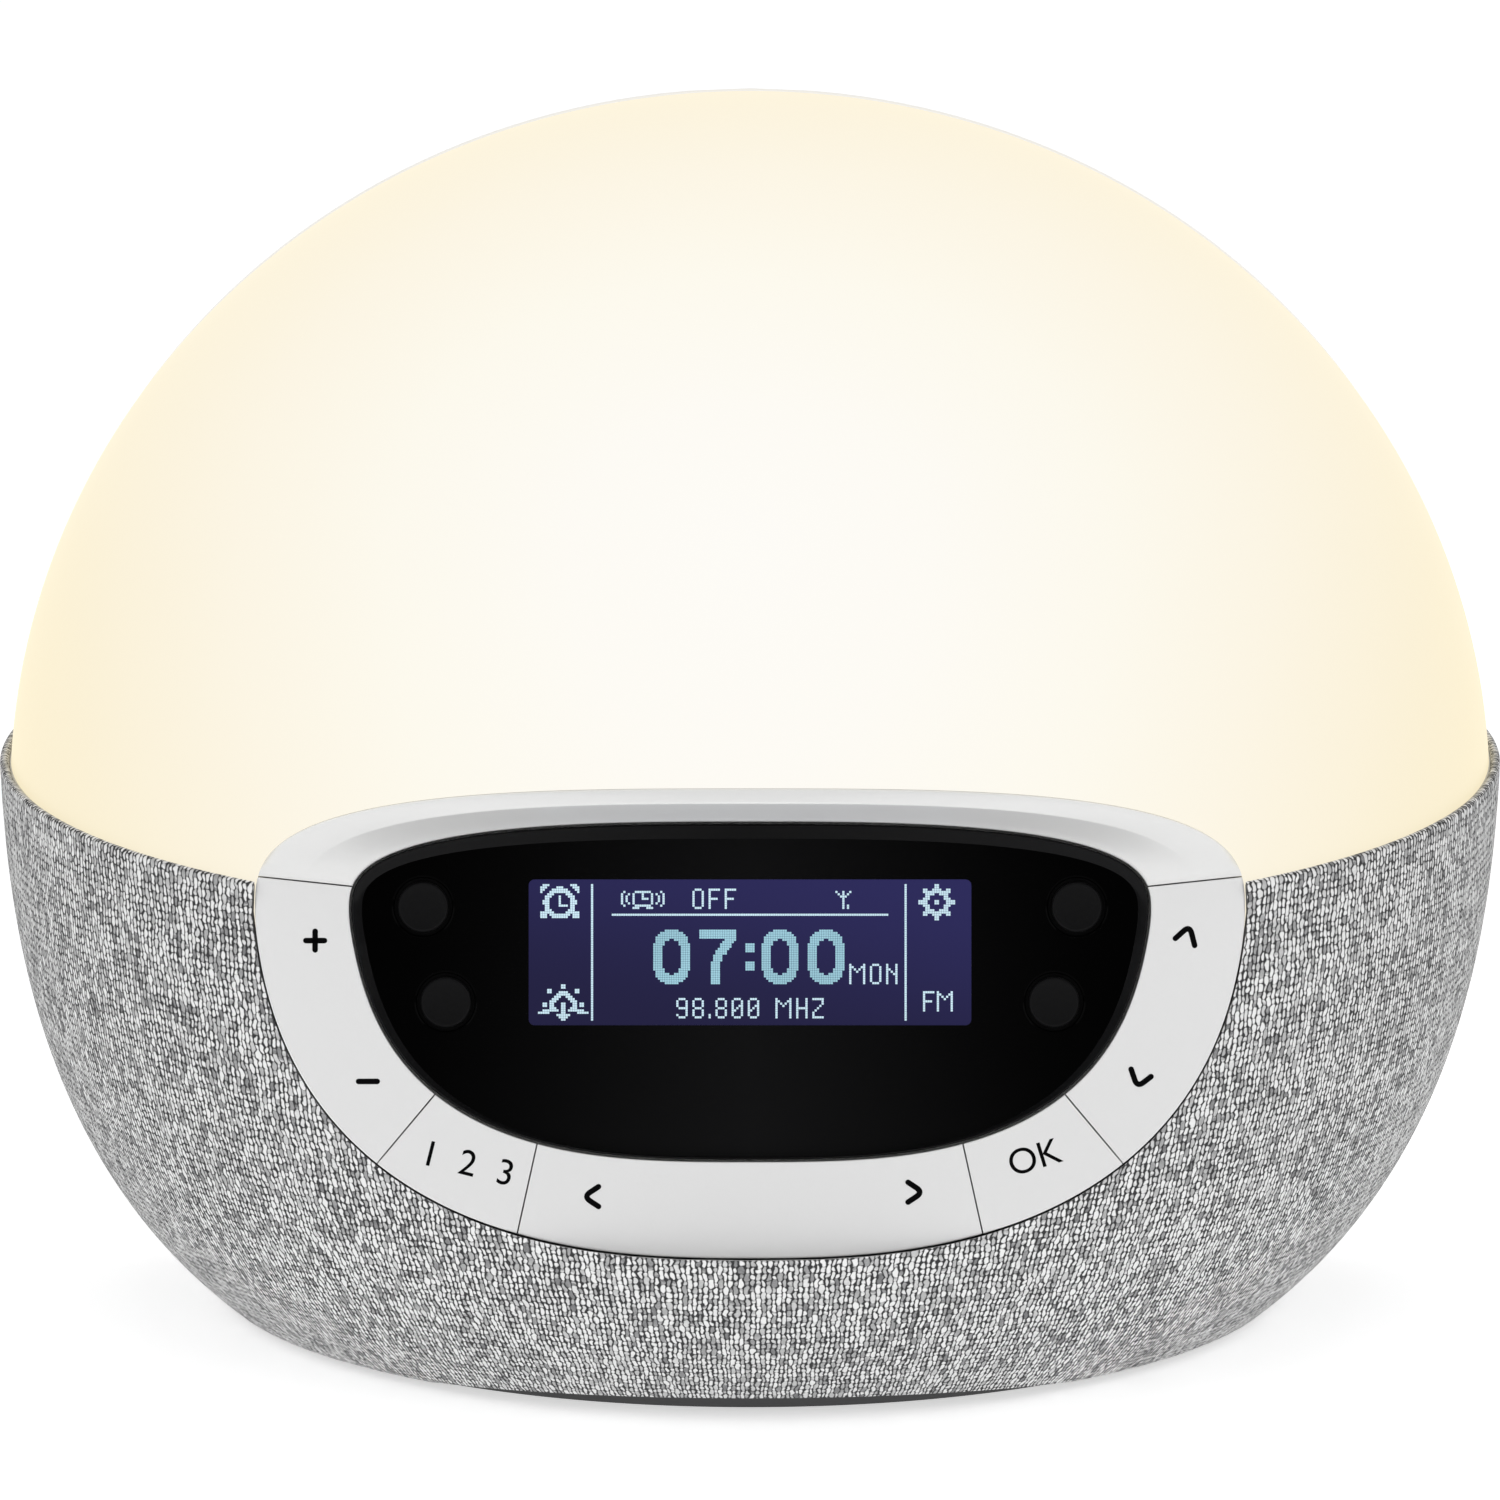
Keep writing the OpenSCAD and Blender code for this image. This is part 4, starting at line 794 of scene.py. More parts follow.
# the bevel's black is painted lighter towards its sides, a painted reflection
LENS_EDGE = lens_with_painted_reflection("lens_edge", 0.002, 0.009, 0.05)
LIT_DIGITS = display_light("display_digits", (0.305, 0.578, 0.680))
LIT_SIGNS = display_light("display_signs", (0.578, 0.791, 0.896))


# ---- housing ----

def build_dome():
    """The glowing dome, with the tongue that drops into the bowl's rim."""
    tongue_r = bowl_radius(FABRIC_T + SHELL_WALL, RIM_Z - TONGUE_H) - FIT_GAP
    seat_z = RIM_Z + SEAM_GAP
    outer = dome_line(0, seat_z, DOME_STEPS)
    inner = dome_line(DOME_WALL, RIM_Z + TONGUE_ROOT, INNER_STEPS)
    profile = [(tongue_r - TONGUE_T, RIM_Z - TONGUE_H), (tongue_r, RIM_Z - TONGUE_H), (tongue_r, seat_z)]
    profile += outer[:-1] + [(0, BODY_H), (0, BODY_H - DOME_WALL)] + inner[-2::-1]
    bm = bmesh.new()
    turn(bm, profile)
    cut_at_seam(bm)
    bmesh.ops.recalc_face_normals(bm, faces=bm.faces)
    dome = make_object(bm, "dome_shell", IN_METRES)
    cut_out_panel(dome, HOOD_GAP)
    settle(dome, FINISHES["dome_plastic"], "dome_plastic", replaced=["diffuser_dome"])


def build_fabric():
    """The woven cover, rolled over the bowl's rim, with a map for its threads."""
    outer = bowl_line(0, SKIRT_Z + FABRIC_T / 2, RIM_Z, BOWL_STEPS)
    inner = bowl_line(FABRIC_T, SKIRT_Z, RIM_Z, INNER_STEPS)
    roll = [(BODY_R - FABRIC_T / 2 * (1 - cos(a)), RIM_Z + FABRIC_ROLL * sin(a))
            for a in [pi * k / ROLL_STEPS for k in range(1, ROLL_STEPS)]]
    profile = [(outer[0][0] - FABRIC_T * FABRIC_HEM, SKIRT_Z)] + outer + roll + inner[::-1]
    bm = bmesh.new()
    run = bm.verts.layers.float.new("run")
    turn(bm, profile, run=run)
    cut_at_seam(bm)
    cut(bm, (0, -LIFT_R, LIFT_Z), (0, LIFT_SLOPE, 1))
    bmesh.ops.recalc_face_normals(bm, faces=bm.faces)
    # threads run up the bowl and round it, so the map is angle by length of profile
    threads = bm.loops.layers.uv.new("threads")
    for face in bm.faces:
        for corner in face.loops:
            x, y, _ = corner.vert.co
            corner[threads].uv = (atan2(x, -y) * BODY_R, corner.vert[run])
    cover = make_object(bm, "woven_cover", IN_METRES)
    cut_out_panel(cover, FIT_GAP)
    # the walls of the cut-out have no threads yet
    mesh = cover.data
    for corner, place in zip(mesh.loops, mesh.uv_layers["threads"].data):
        if place.uv.length < 1e-6:
            x, y, z = mesh.vertices[corner.vertex_index].co / MM
            place.uv = (atan2(x, -y) * BODY_R, z + y)
    settle(cover, FINISHES["woven_fabric"], "woven_fabric", replaced=["fabric_cover"], sharp=50)


def build_foot():
    """The rubber foot, whose rim shows at the front where the cloth's edge lifts."""
    flat = bowl_radius(FABRIC_T, SKIRT_Z) - FOOT_IN
    low, high = SKIRT_Z - FOOT_RIM_DROP, LIFT_Z + FOOT_RIM_SPARE
    heights = [low + (high - low) * k / FOOT_RIM_STEPS for k in range(FOOT_RIM_STEPS + 1)]
    outer = [(bowl_radius(FOOT_RIM_IN, z), z) for z in heights]
    inner = [(bowl_radius(FABRIC_T - FOOT_RIM_BACK, z), z) for z in reversed(heights[1:])]
    profile = [(0, 0), (flat - FOOT_BEVEL[0], 0), (flat, FOOT_BEVEL[1])]
    profile += [(outer[0][0] - FOOT_FOLD[0], low - FOOT_FOLD[1])] + outer + inner
    profile += [(flat, FOOT_T), (0, FOOT_T)]
    bm = bmesh.new()
    turn(bm, profile)
    cut_at_seam(bm)
    bmesh.ops.recalc_face_normals(bm, faces=bm.faces)
    foot = make_object(bm, "foot_pad", IN_METRES)

    # what the cloth's edge and the screws take away from it
    away = bmesh.new()
    level, lifted, past = SKIRT_Z - FOOT_RIM_CLEAR, LIFT_Z - FOOT_RIM_CLEAR, 5
    front, back = -LIFT_R - past, SEAM_Y + past
    wedge = [(front, lifted + LIFT_SLOPE * past), (-LIFT_R + (lifted - level) / LIFT_SLOPE, level),
             (back, level), (back, LIFT_Z + past), (front, LIFT_Z + past)]
    skin(away, [[(x, y, z) for y, z in wedge] for x in (-BODY_R, BODY_R)])
    screws_r = flat - FOOT_SCREWS_IN
    for turned in FOOT_SCREWS:
        x, y = screws_r * cos(radians(turned)), screws_r * sin(radians(turned))
        slab(away, circle(x, y, FOOT_HOLE), -1, level - FOOT_FOLD[1])
    carve(foot, away, IN_METRES)
    settle(foot, FINISHES["foot_rubber"], "foot_rubber", replaced=["rubber_foot"])


def rear_outline(inset):
    """Outline of the housing at the seam, from the skirt over the top and down again."""
    line = bowl_line(FABRIC_T + inset, SKIRT_Z + inset, RIM_Z, REAR_BOWL_STEPS)
    line += dome_line(inset, RIM_Z + 1, DOME_STEPS, SEAM_Y)
    half = [(sqrt(max(r * r - SEAM_Y ** 2, 0)), z) for r, z in line]
    return half + [(-x, z) for x, z in half[-2::-1]]


def upright(outline, y):
    """The outline stood up, at a distance from the axis."""
    return [(x, y, z) for x, z in outline]


def build_rear_cover():
    """The flat back: a shell with round edges, holes for the inlet and aerial, screws and sound slots."""
    inner_y = REAR_Y - REAR_WALL
    inner_round = (REAR_Y - SEAM_Y - REAR_WALL) * REAR_INNER_ROUND
    flat = REAR_ROUND + REAR_OVERLAP
    steps = [(flat, REAR_Y)]
    steps += [(inset, REAR_Y - drop) for inset, drop in reversed(round_edge(REAR_ROUND, 10))]
    steps += [(REAR_WALL * share, SEAM_Y + behind) for share, behind in REAR_LIP]
    chamfer = inner_round * REAR_INNER_CHAMFER
    steps += [(REAR_WALL, inner_y - inner_round), (REAR_WALL + chamfer, inner_y - chamfer), (flat, inner_y)]
    bm = bmesh.new()
    skin(bm, [upright(rear_outline(inset), y) for inset, y in steps])
    bmesh.ops.recalc_face_normals(bm, faces=bm.faces)
    cover = make_object(bm, "rear_shell", IN_METRES)

    holes = bmesh.new()
    deep, out = REAR_Y - SCREW_HOLE[0][1], REAR_Y - SCREW_HOLE[-1][1]
    for x, z, r in REAR_HOLES:
        skin(holes, [upright(circle(x, z, r, HOLE_STEPS), y) for y in (deep, out)])
    for z in SCREW_HEIGHTS:
        aside = sqrt(bowl_radius(FABRIC_T + SHELL_WALL, z) ** 2 - SEAM_Y ** 2) - SCREW_IN
        for x in (-aside, aside):
            skin(holes, [upright(circle(x, z, r, HOLE_STEPS), REAR_Y - down) for r, down in SCREW_HOLE])
    for k in range(-(SLOTS // 2), SLOTS // 2 + 1):
        x = k * 2 * (SOUND_R - 1) / SLOTS
        tall = 2 * sqrt(SOUND_R ** 2 - x * x)
        slot = rounded_box(SOUND_X + x, SOUND_Z, SLOT_W, tall, SLOT_W * SLOT_ROUND)
        skin(holes, [upright(slot, y) for y in (deep, out)])
    carve(cover, holes, IN_METRES)
    settle(cover, REAR_FINISH, "white_plastic", replaced=["rear_cover"])


# ---- control panel ----

def dome_rise(x, y):
    """How far in front of the panel the dome's surface lies at a point of the panel."""
    lean, drop = cos(PANEL_TILT), sin(PANEL_TILT)
    y0 = PANEL_Y + y * drop
    z0 = PANEL_Z + y * lean - DOME_Z
    a = (lean / DOME_R) ** 2 + (drop / DOME_C) ** 2
    b = z0 * drop / DOME_C ** 2 - y0 * lean / DOME_R ** 2
    c = (x * x + y0 * y0) / DOME_R ** 2 + (z0 / DOME_C) ** 2 - 1
    return 0.0 if c >= 0 else (sqrt(b * b - a * c) - b) / a


def hood_section(outer, inner):
    """A section across the hood: a rolled lip outside, then a cove down to the window."""
    rise = dome_rise(*outer)
    across = Vector((inner[0] - outer[0], inner[1] - outer[1], 0))
    full = min(1, rise / LIP_FADE)
    top = rise + LIP_PROUD * full
    shoulder = max(top - LIP_ROLL, 0)
    start = Vector((*outer, 0))
    line = [(*outer, FRAME_FRONT), (*outer, shoulder)]
    for k in range(1, LIP_STEPS + 1):
        a = pi / (2 * LIP_STEPS) * k
        p = start + across * LIP_SHARE * (1 - cos(a))
        line.append((p.x, p.y, shoulder + (top - shoulder) * sin(a)))
    crest = len(line) - 1
    for k in range(1, COVE_STEPS + 1):
        t = k / COVE_STEPS
        p = start + across * (LIP_SHARE + (1 - LIP_SHARE) * t)
        line.append((p.x, p.y, top * (COVE_FOOT + (1 - COVE_FOOT) * (1 - t) ** COVE_POWER)))
    line.append((*inner, FRAME_FRONT))
    foot = (Vector(line[-2]) - Vector(line[-3])).length
    line = soften(line, len(line) - 2, foot * COVE_TURN)
    return soften(line, crest, CREST_ROUND + CREST_ROUND_MORE * full)


def build_hood():
    """The fixed brow over the display, from one upper joint of the ring to the other."""
    outer = ring_outline(0)
    inner = window_outline(KEY_GAP)
    bm = bmesh.new()
    sections = [hood_section(outer[k], inner[k]) for k in range(OUTLINE_STEPS // 2 + 1)]
    bridge(bm, [add_loop(bm, section) for section in sections])
    for side in (1, -1):
        joint_cut(bm, side, HOOD_ANGLE, 1)
    piece(bm, "hood_moulding", FINISHES["white_plastic"], "white_plastic", PANEL, replaced=["hood"],
          sharp=40)


def joint_cut(bm, side, angle, keep):
    """Cuts along a joint of the ring; keep is 1 for the part above it and -1 for the part below."""
    normal = Vector((-sin(angle) * side * keep, cos(angle) * keep, 0))
    point = Vector((side * JOINT_FOCUS, 0, 0)) + normal * JOINT_LINE / 2
    cut(bm, point, normal)


def key_ring():
    """The whole ring of keys, round at its edges, before it is cut at the joints."""
    outside = [(0, -KEY_T)] + [(-inset, -drop) for inset, drop in round_edge(KEY_EDGE)]
    # the flat lies a hair over its edges, and a loop close to each holds it flat
    outside.append((-KEY_EDGE - KEY_HOLD, KEY_RAISE))
    inside = [(KEY_GAP + KEY_INNER_EDGE + KEY_HOLD, KEY_RAISE)]
    inside += [(KEY_GAP + inset, -drop) for inset, drop in reversed(round_edge(KEY_INNER_EDGE))]
    inside.append((KEY_GAP, -KEY_T))
    bm = bmesh.new()
    loops = [add_loop(bm, at_depth(ring_outline(out), depth)) for out, depth in outside]
    loops += [add_loop(bm, at_depth(window_outline(out), depth)) for out, depth in inside]
    bridge(bm, loops, closed=True)
    return bm


def add_post(bm, x, y):
    """The post by which a key presses its switch."""
    middle = Matrix.Translation((x, y, (POST_END - KEY_T / 2) / 2))
    bmesh.ops.create_cone(bm, cap_ends=True, segments=32, radius1=POST_R, radius2=POST_R,
                          depth=-POST_END - KEY_T / 2, matrix=middle)


def build_keys(ring):
    """The three rocking keys and the two corner keys, cut from copies of one ring."""
    finish = FINISHES["key_plastic"]
    for side, rocker, corner in ((-1, "left_rocker", "preset_key"), (1, "right_rocker", "select_key")):
        bm = ring.copy()
        joint_cut(bm, side, HOOD_ANGLE, -1)
        joint_cut(bm, side, CORNER_FROM, 1)
        for x, y in SIDE_MARKS:
            add_post(bm, side * x, y)
        piece(bm, rocker + "_cap", finish, "key_plastic", PANEL, body=rocker, replaced=[rocker])
        bm = ring.copy()
        joint_cut(bm, side, CORNER_FROM, -1)
        joint_cut(bm, side, CORNER_TO, 1)
        add_post(bm, side * CORNER_MARK[0], CORNER_MARK[1])
        piece(bm, corner + "_cap", finish, "key_plastic", PANEL, body=corner, replaced=[corner])
    bm = ring.copy()
    cut(bm, (0, 0, 0), (0, -1, 0))
    for side in (1, -1):
        joint_cut(bm, side, CORNER_TO, -1)
        add_post(bm, side * BOTTOM_MARK[0], BOTTOM_MARK[1])
    piece(bm, "bottom_rocker_cap", finish, "key_plastic", PANEL, body="bottom_rocker",
          replaced=["bottom_rocker"])


def build_window():
    """The gloss window with its bevelled edge, open over the display and the buttons."""
    flat = oval(WINDOW_HALF - BEVEL_SIDE, WINDOW_UP - BEVEL_TOP, WINDOW_DOWN - BEVEL_BOTTOM,
                WINDOW_UP_POWER, WINDOW_DOWN_POWER, WINDOW_LEAN)
    bm = bmesh.new()
    rim = [add_loop(bm, at_depth(window_outline(0), FRAME_FRONT))]
    rim += [add_loop(bm, at_depth(window_outline(-inset), RIM_TOP - drop))
            for inset, drop in round_edge(RIM_EDGE)]
    rim.append(add_loop(bm, at_depth(flat, -WINDOW_SINK)))
    bridge(bm, rim)
    display = rounded_box(0, LCD_Y, LCD_W, LCD_H, LCD_CORNER)
    openings = [[(display, -WINDOW_SINK), (display, FRAME_FRONT)]]
    hole_r = BUTTON_R + BUTTON_GAP
    for x, y in BUTTON_PLACES.values():
        mouth = [(circle(x, y, hole_r + more), -WINDOW_SINK - down) for more, down in BUTTON_MOUTH]
        openings.append(mouth + [(circle(x, y, hole_r), FRAME_FRONT)])
    front, back = list(rim[-1]), list(rim[0])
    for opening in openings:
        loops = [add_loop(bm, at_depth(outline, depth)) for outline, depth in opening]
        bridge(bm, loops)
        front += loops[0]
        back += loops[-1]
    fill(bm, front)
    fill(bm, back)
    lens = piece(bm, "window_lens", FINISHES["black_gloss"], "black_gloss", PANEL,
                 replaced=["display_window"], sharp=25)
    # the bevel and the rim, which lie over the window's flat, have a gloss and a painted reflection of
    # their own
    lens.data.materials.append(LENS_EDGE)
    on_panel, over_flat = PANEL.inverted(), 0.05 - WINDOW_SINK
    for face in lens.data.polygons:
        if (on_panel @ face.center).z > over_flat:
            face.material_index = 1


def build_buttons():
    """The four round buttons, each dished on top, with a flange that holds it behind the window."""
    flange_top = FRAME_FRONT - FIT_GAP
    face = BUTTON_PROUD - WINDOW_SINK
    edge = [(BUTTON_R - inset, face - drop) for inset, drop in round_edge(BUTTON_EDGE)]
    dish = [(BUTTON_R * k / DISH_STEPS, face - BUTTON_HOLLOW * (1 - (k / DISH_STEPS) ** 2))
            for k in range(DISH_STEPS - 1, -1, -1)]
    flange = [(POST_R, flange_top - FLANGE_T), (FLANGE_R, flange_top - FLANGE_T), (FLANGE_R, flange_top)]
    profile = [(0, POST_END), (POST_R, POST_END)] + flange + [(BUTTON_R, flange_top)] + edge + dish
    for name, (x, y) in BUTTON_PLACES.items():
        bm = bmesh.new()
        turn(bm, profile, BUTTON_STEPS)
        bmesh.ops.translate(bm, vec=(x, y, 0), verts=bm.verts)
        piece(bm, name + "_cap", FINISHES["button_plastic"], "button_plastic", PANEL, body=name,
              replaced=[name])


# ---- display ----
DOTS_WIDE, DOTS_HIGH = 192, 64
DOT_GAP = 0.1
DOT_T, DOT_LIFT = 0.04, 0.005
# Letters drawn in dots, each as its rows from the top
LETTERS = {
    "O": (".###.", "#...#", "#...#", "#...#", "#...#", "#...#", "#...#", "#...#", ".###."),
    "F": ("#####", "#....", "#....", "#....", "####.", "#....", "#....", "#....", "#...."),
    "M": ("#.....#", "##...##", "#.#.#.#", "#..#..#") + ("#.....#",) * 5,
    "N": ("#...#", "#...#", "##..#", "#.#.#", "#..##", "#...#", "#...#", "#...#", "#...#"),
    "H": ("#...#", "#...#", "#...#", "#...#", "#####", "#...#", "#...#", "#...#", "#...#"),
    "Z": ("#####", "....#", "....#", "...#.", "..#..", ".#...", "#....", "#....", "#####"),
    "0": (".###.", "#...#", "#...#", "#..##", "#.#.#", "##..#", "#...#", "#...#", ".###."),
    "8": (".###.", "#...#", "#...#", "#...#", ".###.", "#...#", "#...#", "#...#", ".###."),
    "9": (".###.", "#...#", "#...#", "#...#", ".####", "....#", "....#", "#...#", ".###."),
    ".": (".",) * 7 + ("#",) * 2,
    " ": ("...",) * 9,
}


def word_dots(text, column, row, gap):
    """The dots of a word as (column, row), with its top left dot at the place given."""
    dots = set()
    for letter in text:
        glyph = LETTERS[letter]
        dots |= {(column + x, row + y) for y, line in enumerate(glyph)
                 for x, mark in enumerate(line) if mark == "#"}
        column += len(glyph[0]) + gap
    return dots


def box_dots(column, row, wide, high):
    return {(column + x, row + y) for x in range(wide) for y in range(high)}


def cut_box(column, row, wide, high, corner):
    """A box of dots with its corners cut off."""
    return {(column + x, row + y) for x in range(wide) for y in range(high)
            if min(x, wide - 1 - x) + min(y, high - 1 - y) >= corner}


def mirrored(dots, total):
    """The dots and their mirror image; total is the sum of a column and its image's."""
    return dots | {(total - x, y) for x, y in dots}


def big_zero(column, row):
    """A round nought, 16 dots by 24; half widths of its outside and hole from its top to its middle."""
    outer, hole = (3, 5, 6, 7, 7, 7) + (8,) * 6, (0,) * 4 + (1, 3, 3) + (4,) * 5
    return {(column + x, row + y) for x in range(16) for y in range(24)
            if hole[min(y, 23 - y)] <= abs(x - 7.5) < outer[min(y, 23 - y)]}


def big_seven(column, row):
    dots = box_dots(column, row, 16, 4)
    for y in range(4, 24):
        left = 5 + round(6 * (max(17 - y, 0) / 13) ** 2)
        dots |= box_dots(column + left, row + y, 5 if y < 11 else 4, 1)
    return dots


def clock_icon():
    """A round alarm clock with bells, hands and feet."""
    side = {(x, y) for x, y in box_dots(5, 2, 4, 4) if 8 <= x + y <= 10}
    side |= box_dots(6, 9, 1, 2) | box_dots(5, 14, 3, 3)
    rim = cut_box(7, 4, 13, 13, 3) - cut_box(9, 6, 9, 9, 2)
    return rim | mirrored(side, 26) | box_dots(12, 3, 3, 1) | box_dots(13, 7, 1, 5) | box_dots(13, 11, 4, 1)


def ringing_icon():
    """A small clock between two pairs of sound waves."""
    side = box_dots(45, 6, 1, 5) | box_dots(45, 12, 3, 1) | box_dots(42, 7, 1, 3) | box_dots(40, 6, 1, 5)
    side |= {(43, 6), (43, 10), (41, 5), (41, 11)}
    return (mirrored(side, 98) | box_dots(46, 5, 7, 1) | box_dots(46, 11, 7, 1)
            | box_dots(49, 5, 1, 4) | box_dots(49, 8, 3, 1))


def aerial_icon():
    arm = {(133 + k, 5 + k) for k in range(3)}
    return box_dots(136, 5, 1, 8) | box_dots(138, 11, 1, 2) | mirrored(arm, 272)


def gear_icon():
    dots = box_dots(172, 5, 10, 10) - box_dots(174, 7, 6, 6)
    dots -= box_dots(176, 6, 2, 8) | box_dots(173, 9, 8, 2)
    dots |= box_dots(175, 4, 4, 1) | box_dots(175, 15, 4, 1)
    dots |= box_dots(171, 8, 1, 4) | box_dots(182, 8, 1, 4)
    for column, row in ((176, 2), (176, 16), (169, 9), (183, 9), (171, 4), (181, 4), (171, 14), (181, 14),
                        (176, 9)):
        dots |= box_dots(column, row, 2, 2)
    return dots


def sunrise_icon():
    """Half a sun over the horizon, with rays and an arrow."""
    arch = {(x, y) for x, y in cut_box(9, 49, 12, 18, 4) - cut_box(11, 51, 8, 16, 3) if y < 58}
    side = box_dots(9, 56, 3, 1) | box_dots(6, 57, 7, 1) | box_dots(4, 58, 5, 1)
    side |= box_dots(8, 48, 2, 2) | box_dots(6, 54, 2, 2)
    arrow = box_dots(14, 54, 2, 8) | box_dots(12, 59, 6, 1) | box_dots(13, 60, 4, 1)
    return arch | mirrored(side, 29) | arrow | box_dots(14, 46, 2, 2)


def digit_dots():
    dots = big_zero(54, 22) | big_seven(74, 22) | big_zero(101, 22) | big_zero(121, 22)
    return dots | box_dots(94, 28, 4, 4) | box_dots(94, 36, 4, 4)


def sign_dots():
    dots = word_dots("OFF", 71, 4, 2) | word_dots("MON", 139, 37, 2) | word_dots("FM", 171, 49, 1)
    dots |= word_dots("98.800 MHZ", 64, 52, 2)
    dots |= box_dots(27, 2, 1, 60) | box_dots(163, 2, 1, 60) | box_dots(36, 15, 120, 1)
    return dots | clock_icon() | ringing_icon() | aerial_icon() | gear_icon() | sunrise_icon()


def build_display():
    """The display's ground and, raised on it, the clock's digits and its signs."""
    face = -WINDOW_SINK - LCD_SINK
    bm = bmesh.new()
    slab(bm, rounded_box(0, LCD_Y, LCD_W - LCD_FIT, LCD_H - LCD_FIT, LCD_CORNER), FRAME_FRONT, face)
    piece(bm, "display_face", FINISHES["display_glass"], "display_glass", PANEL, replaced=["lcd_glass"])

    light_up("display_digits", digit_dots(), LIT_DIGITS, face)
    light_up("display_signs", sign_dots(), LIT_SIGNS, face)


def light_up(name, lit, finish, face):
    """Raised square dots on the display's face."""
    bm = bmesh.new()
    bmesh.ops.create_grid(bm, x_segments=DOTS_WIDE, y_segments=DOTS_HIGH, size=0.5)
    bmesh.ops.scale(bm, vec=(LCD_W, LCD_H, 1), verts=bm.verts)
    dark = []
    for cell in bm.faces:
        middle = cell.calc_center_median()
        column = int((middle.x / LCD_W + 0.5) * DOTS_WIDE)
        row = int((0.5 - middle.y / LCD_H) * DOTS_HIGH)
        if (column, row) not in lit:
            dark.append(cell)
    bmesh.ops.delete(bm, geom=dark, context="FACES")
    bmesh.ops.split_edges(bm, edges=bm.edges)
    for cell in bm.faces:
        bmesh.ops.scale(bm, vec=(1 - DOT_GAP, 1 - DOT_GAP, 1), verts=cell.verts,
                        space=Matrix.Translation(-cell.calc_center_median()))
    made = bmesh.ops.extrude_face_region(bm, geom=bm.faces[:])
    tops = [g for g in made["geom"] if isinstance(g, bmesh.types.BMVert)]
    bmesh.ops.translate(bm, vec=(0, 0, DOT_T), verts=tops)
    bmesh.ops.translate(bm, vec=(0, LCD_Y, face + DOT_LIFT), verts=bm.verts)
    bmesh.ops.recalc_face_normals(bm, faces=bm.faces)
    settle(make_object(bm, name, PANEL), finish, "display_glass")


# ---- marks on the keys ----
STROKE = 0.38
INK_T = 0.03
INK_BITE = 0.01
WORD_SIZE = 5.0
PLUS_AT, MINUS_AT, SIGN_HALF = (-59.3, -4.0), (-52.1, -23.2), 1.65
# The words, each with its key, its letters, its place and its turn in degrees
WORDS = {
    "preset_numerals": ("preset_key", "1  2  3", (-38.5, -34.5), -14),
    "select_word": ("select_key", "OK", (38.8, -33.7), 17),
}
# The arrow heads, each with its key, its vertex and its two arms
ARROWS = {
    "up_mark": ("right_rocker", (59.95, -1.95), (-1.95, -1.75), (0.68, -2.7)),
    "down_mark": ("right_rocker", (52.8, -24.0), (-0.83, 2.46), (1.88, 1.46)),
    "back_mark": ("bottom_rocker", (-22.7, -38.9), (2.05, 1.35), (2.05, -1.35)),
    "forward_mark": ("bottom_rocker", (23.6, -38.3), (-2.05, 1.35), (-2.05, -1.35)),
}


def round_end(end, rim, half, steps=8):
    """Points of a half circle round the end of a stroke, from one of its sides to the other."""
    start = atan2(rim.y - end.y, rim.x - end.x)
    angles = [start - pi * k / steps for k in range(1, steps)]
    return [end + Vector((cos(a), sin(a))) * half for a in angles]


def stroke_outline(points, half):
    """Outline of a stroke along a line of points, with round ends."""
    path = [Vector(p) for p in points]
    left, right = [], []
    for k, p in enumerate(path):
        ahead = (path[min(k + 1, len(path) - 1)] - path[max(k - 1, 0)]).normalized()
        side = Vector((-ahead.y, ahead.x)) * half
        left.append(p + side)
        right.append(p - side)
    outline = left + round_end(path[-1], left[-1], half) + right[::-1] + round_end(path[0], right[0], half)
    return [(p.x, p.y) for p in outline]


def chevron(vertex, first, second, rounding=1.1, steps=8):
    """Points of an arrow head: two arms from a rounded vertex."""
    tip, a, b = Vector(vertex), Vector(first), Vector(second)
    start, end = tip + a.normalized() * rounding, tip + b.normalized() * rounding
    bend = [start * (1 - t) ** 2 + tip * 2 * t * (1 - t) + end * t * t
            for t in [k / steps for k in range(steps + 1)]]
    return [tuple(tip + a)] + [tuple(p) for p in bend] + [tuple(tip + b)]


def ink_stroke(name, lines, body):
    """Printed strokes on a key, each a line of points."""
    bm = bmesh.new()
    for points in lines:
        slab(bm, stroke_outline(points, STROKE), -INK_BITE, INK_T)
    piece(bm, name, INK, "key_plastic", PANEL, body=body)


def sign_bar(place, aside, up):
    """The ends of a bar with its middle at a place."""
    (x, y), arm = place, SIGN_HALF - STROKE
    return [(x - aside * arm, y - up * arm), (x + aside * arm, y + up * arm)]


def build_marks():
    ink_stroke("plus_mark", [sign_bar(PLUS_AT, 1, 0), sign_bar(PLUS_AT, 0, 1)], "left_rocker")
    ink_stroke("minus_mark", [sign_bar(MINUS_AT, 1, 0)], "left_rocker")
    for name, (body, *arrow) in ARROWS.items():
        ink_stroke(name, [chevron(*arrow)], body)
    for name, (body, *word) in WORDS.items():
        ink_word(name, *word, body)


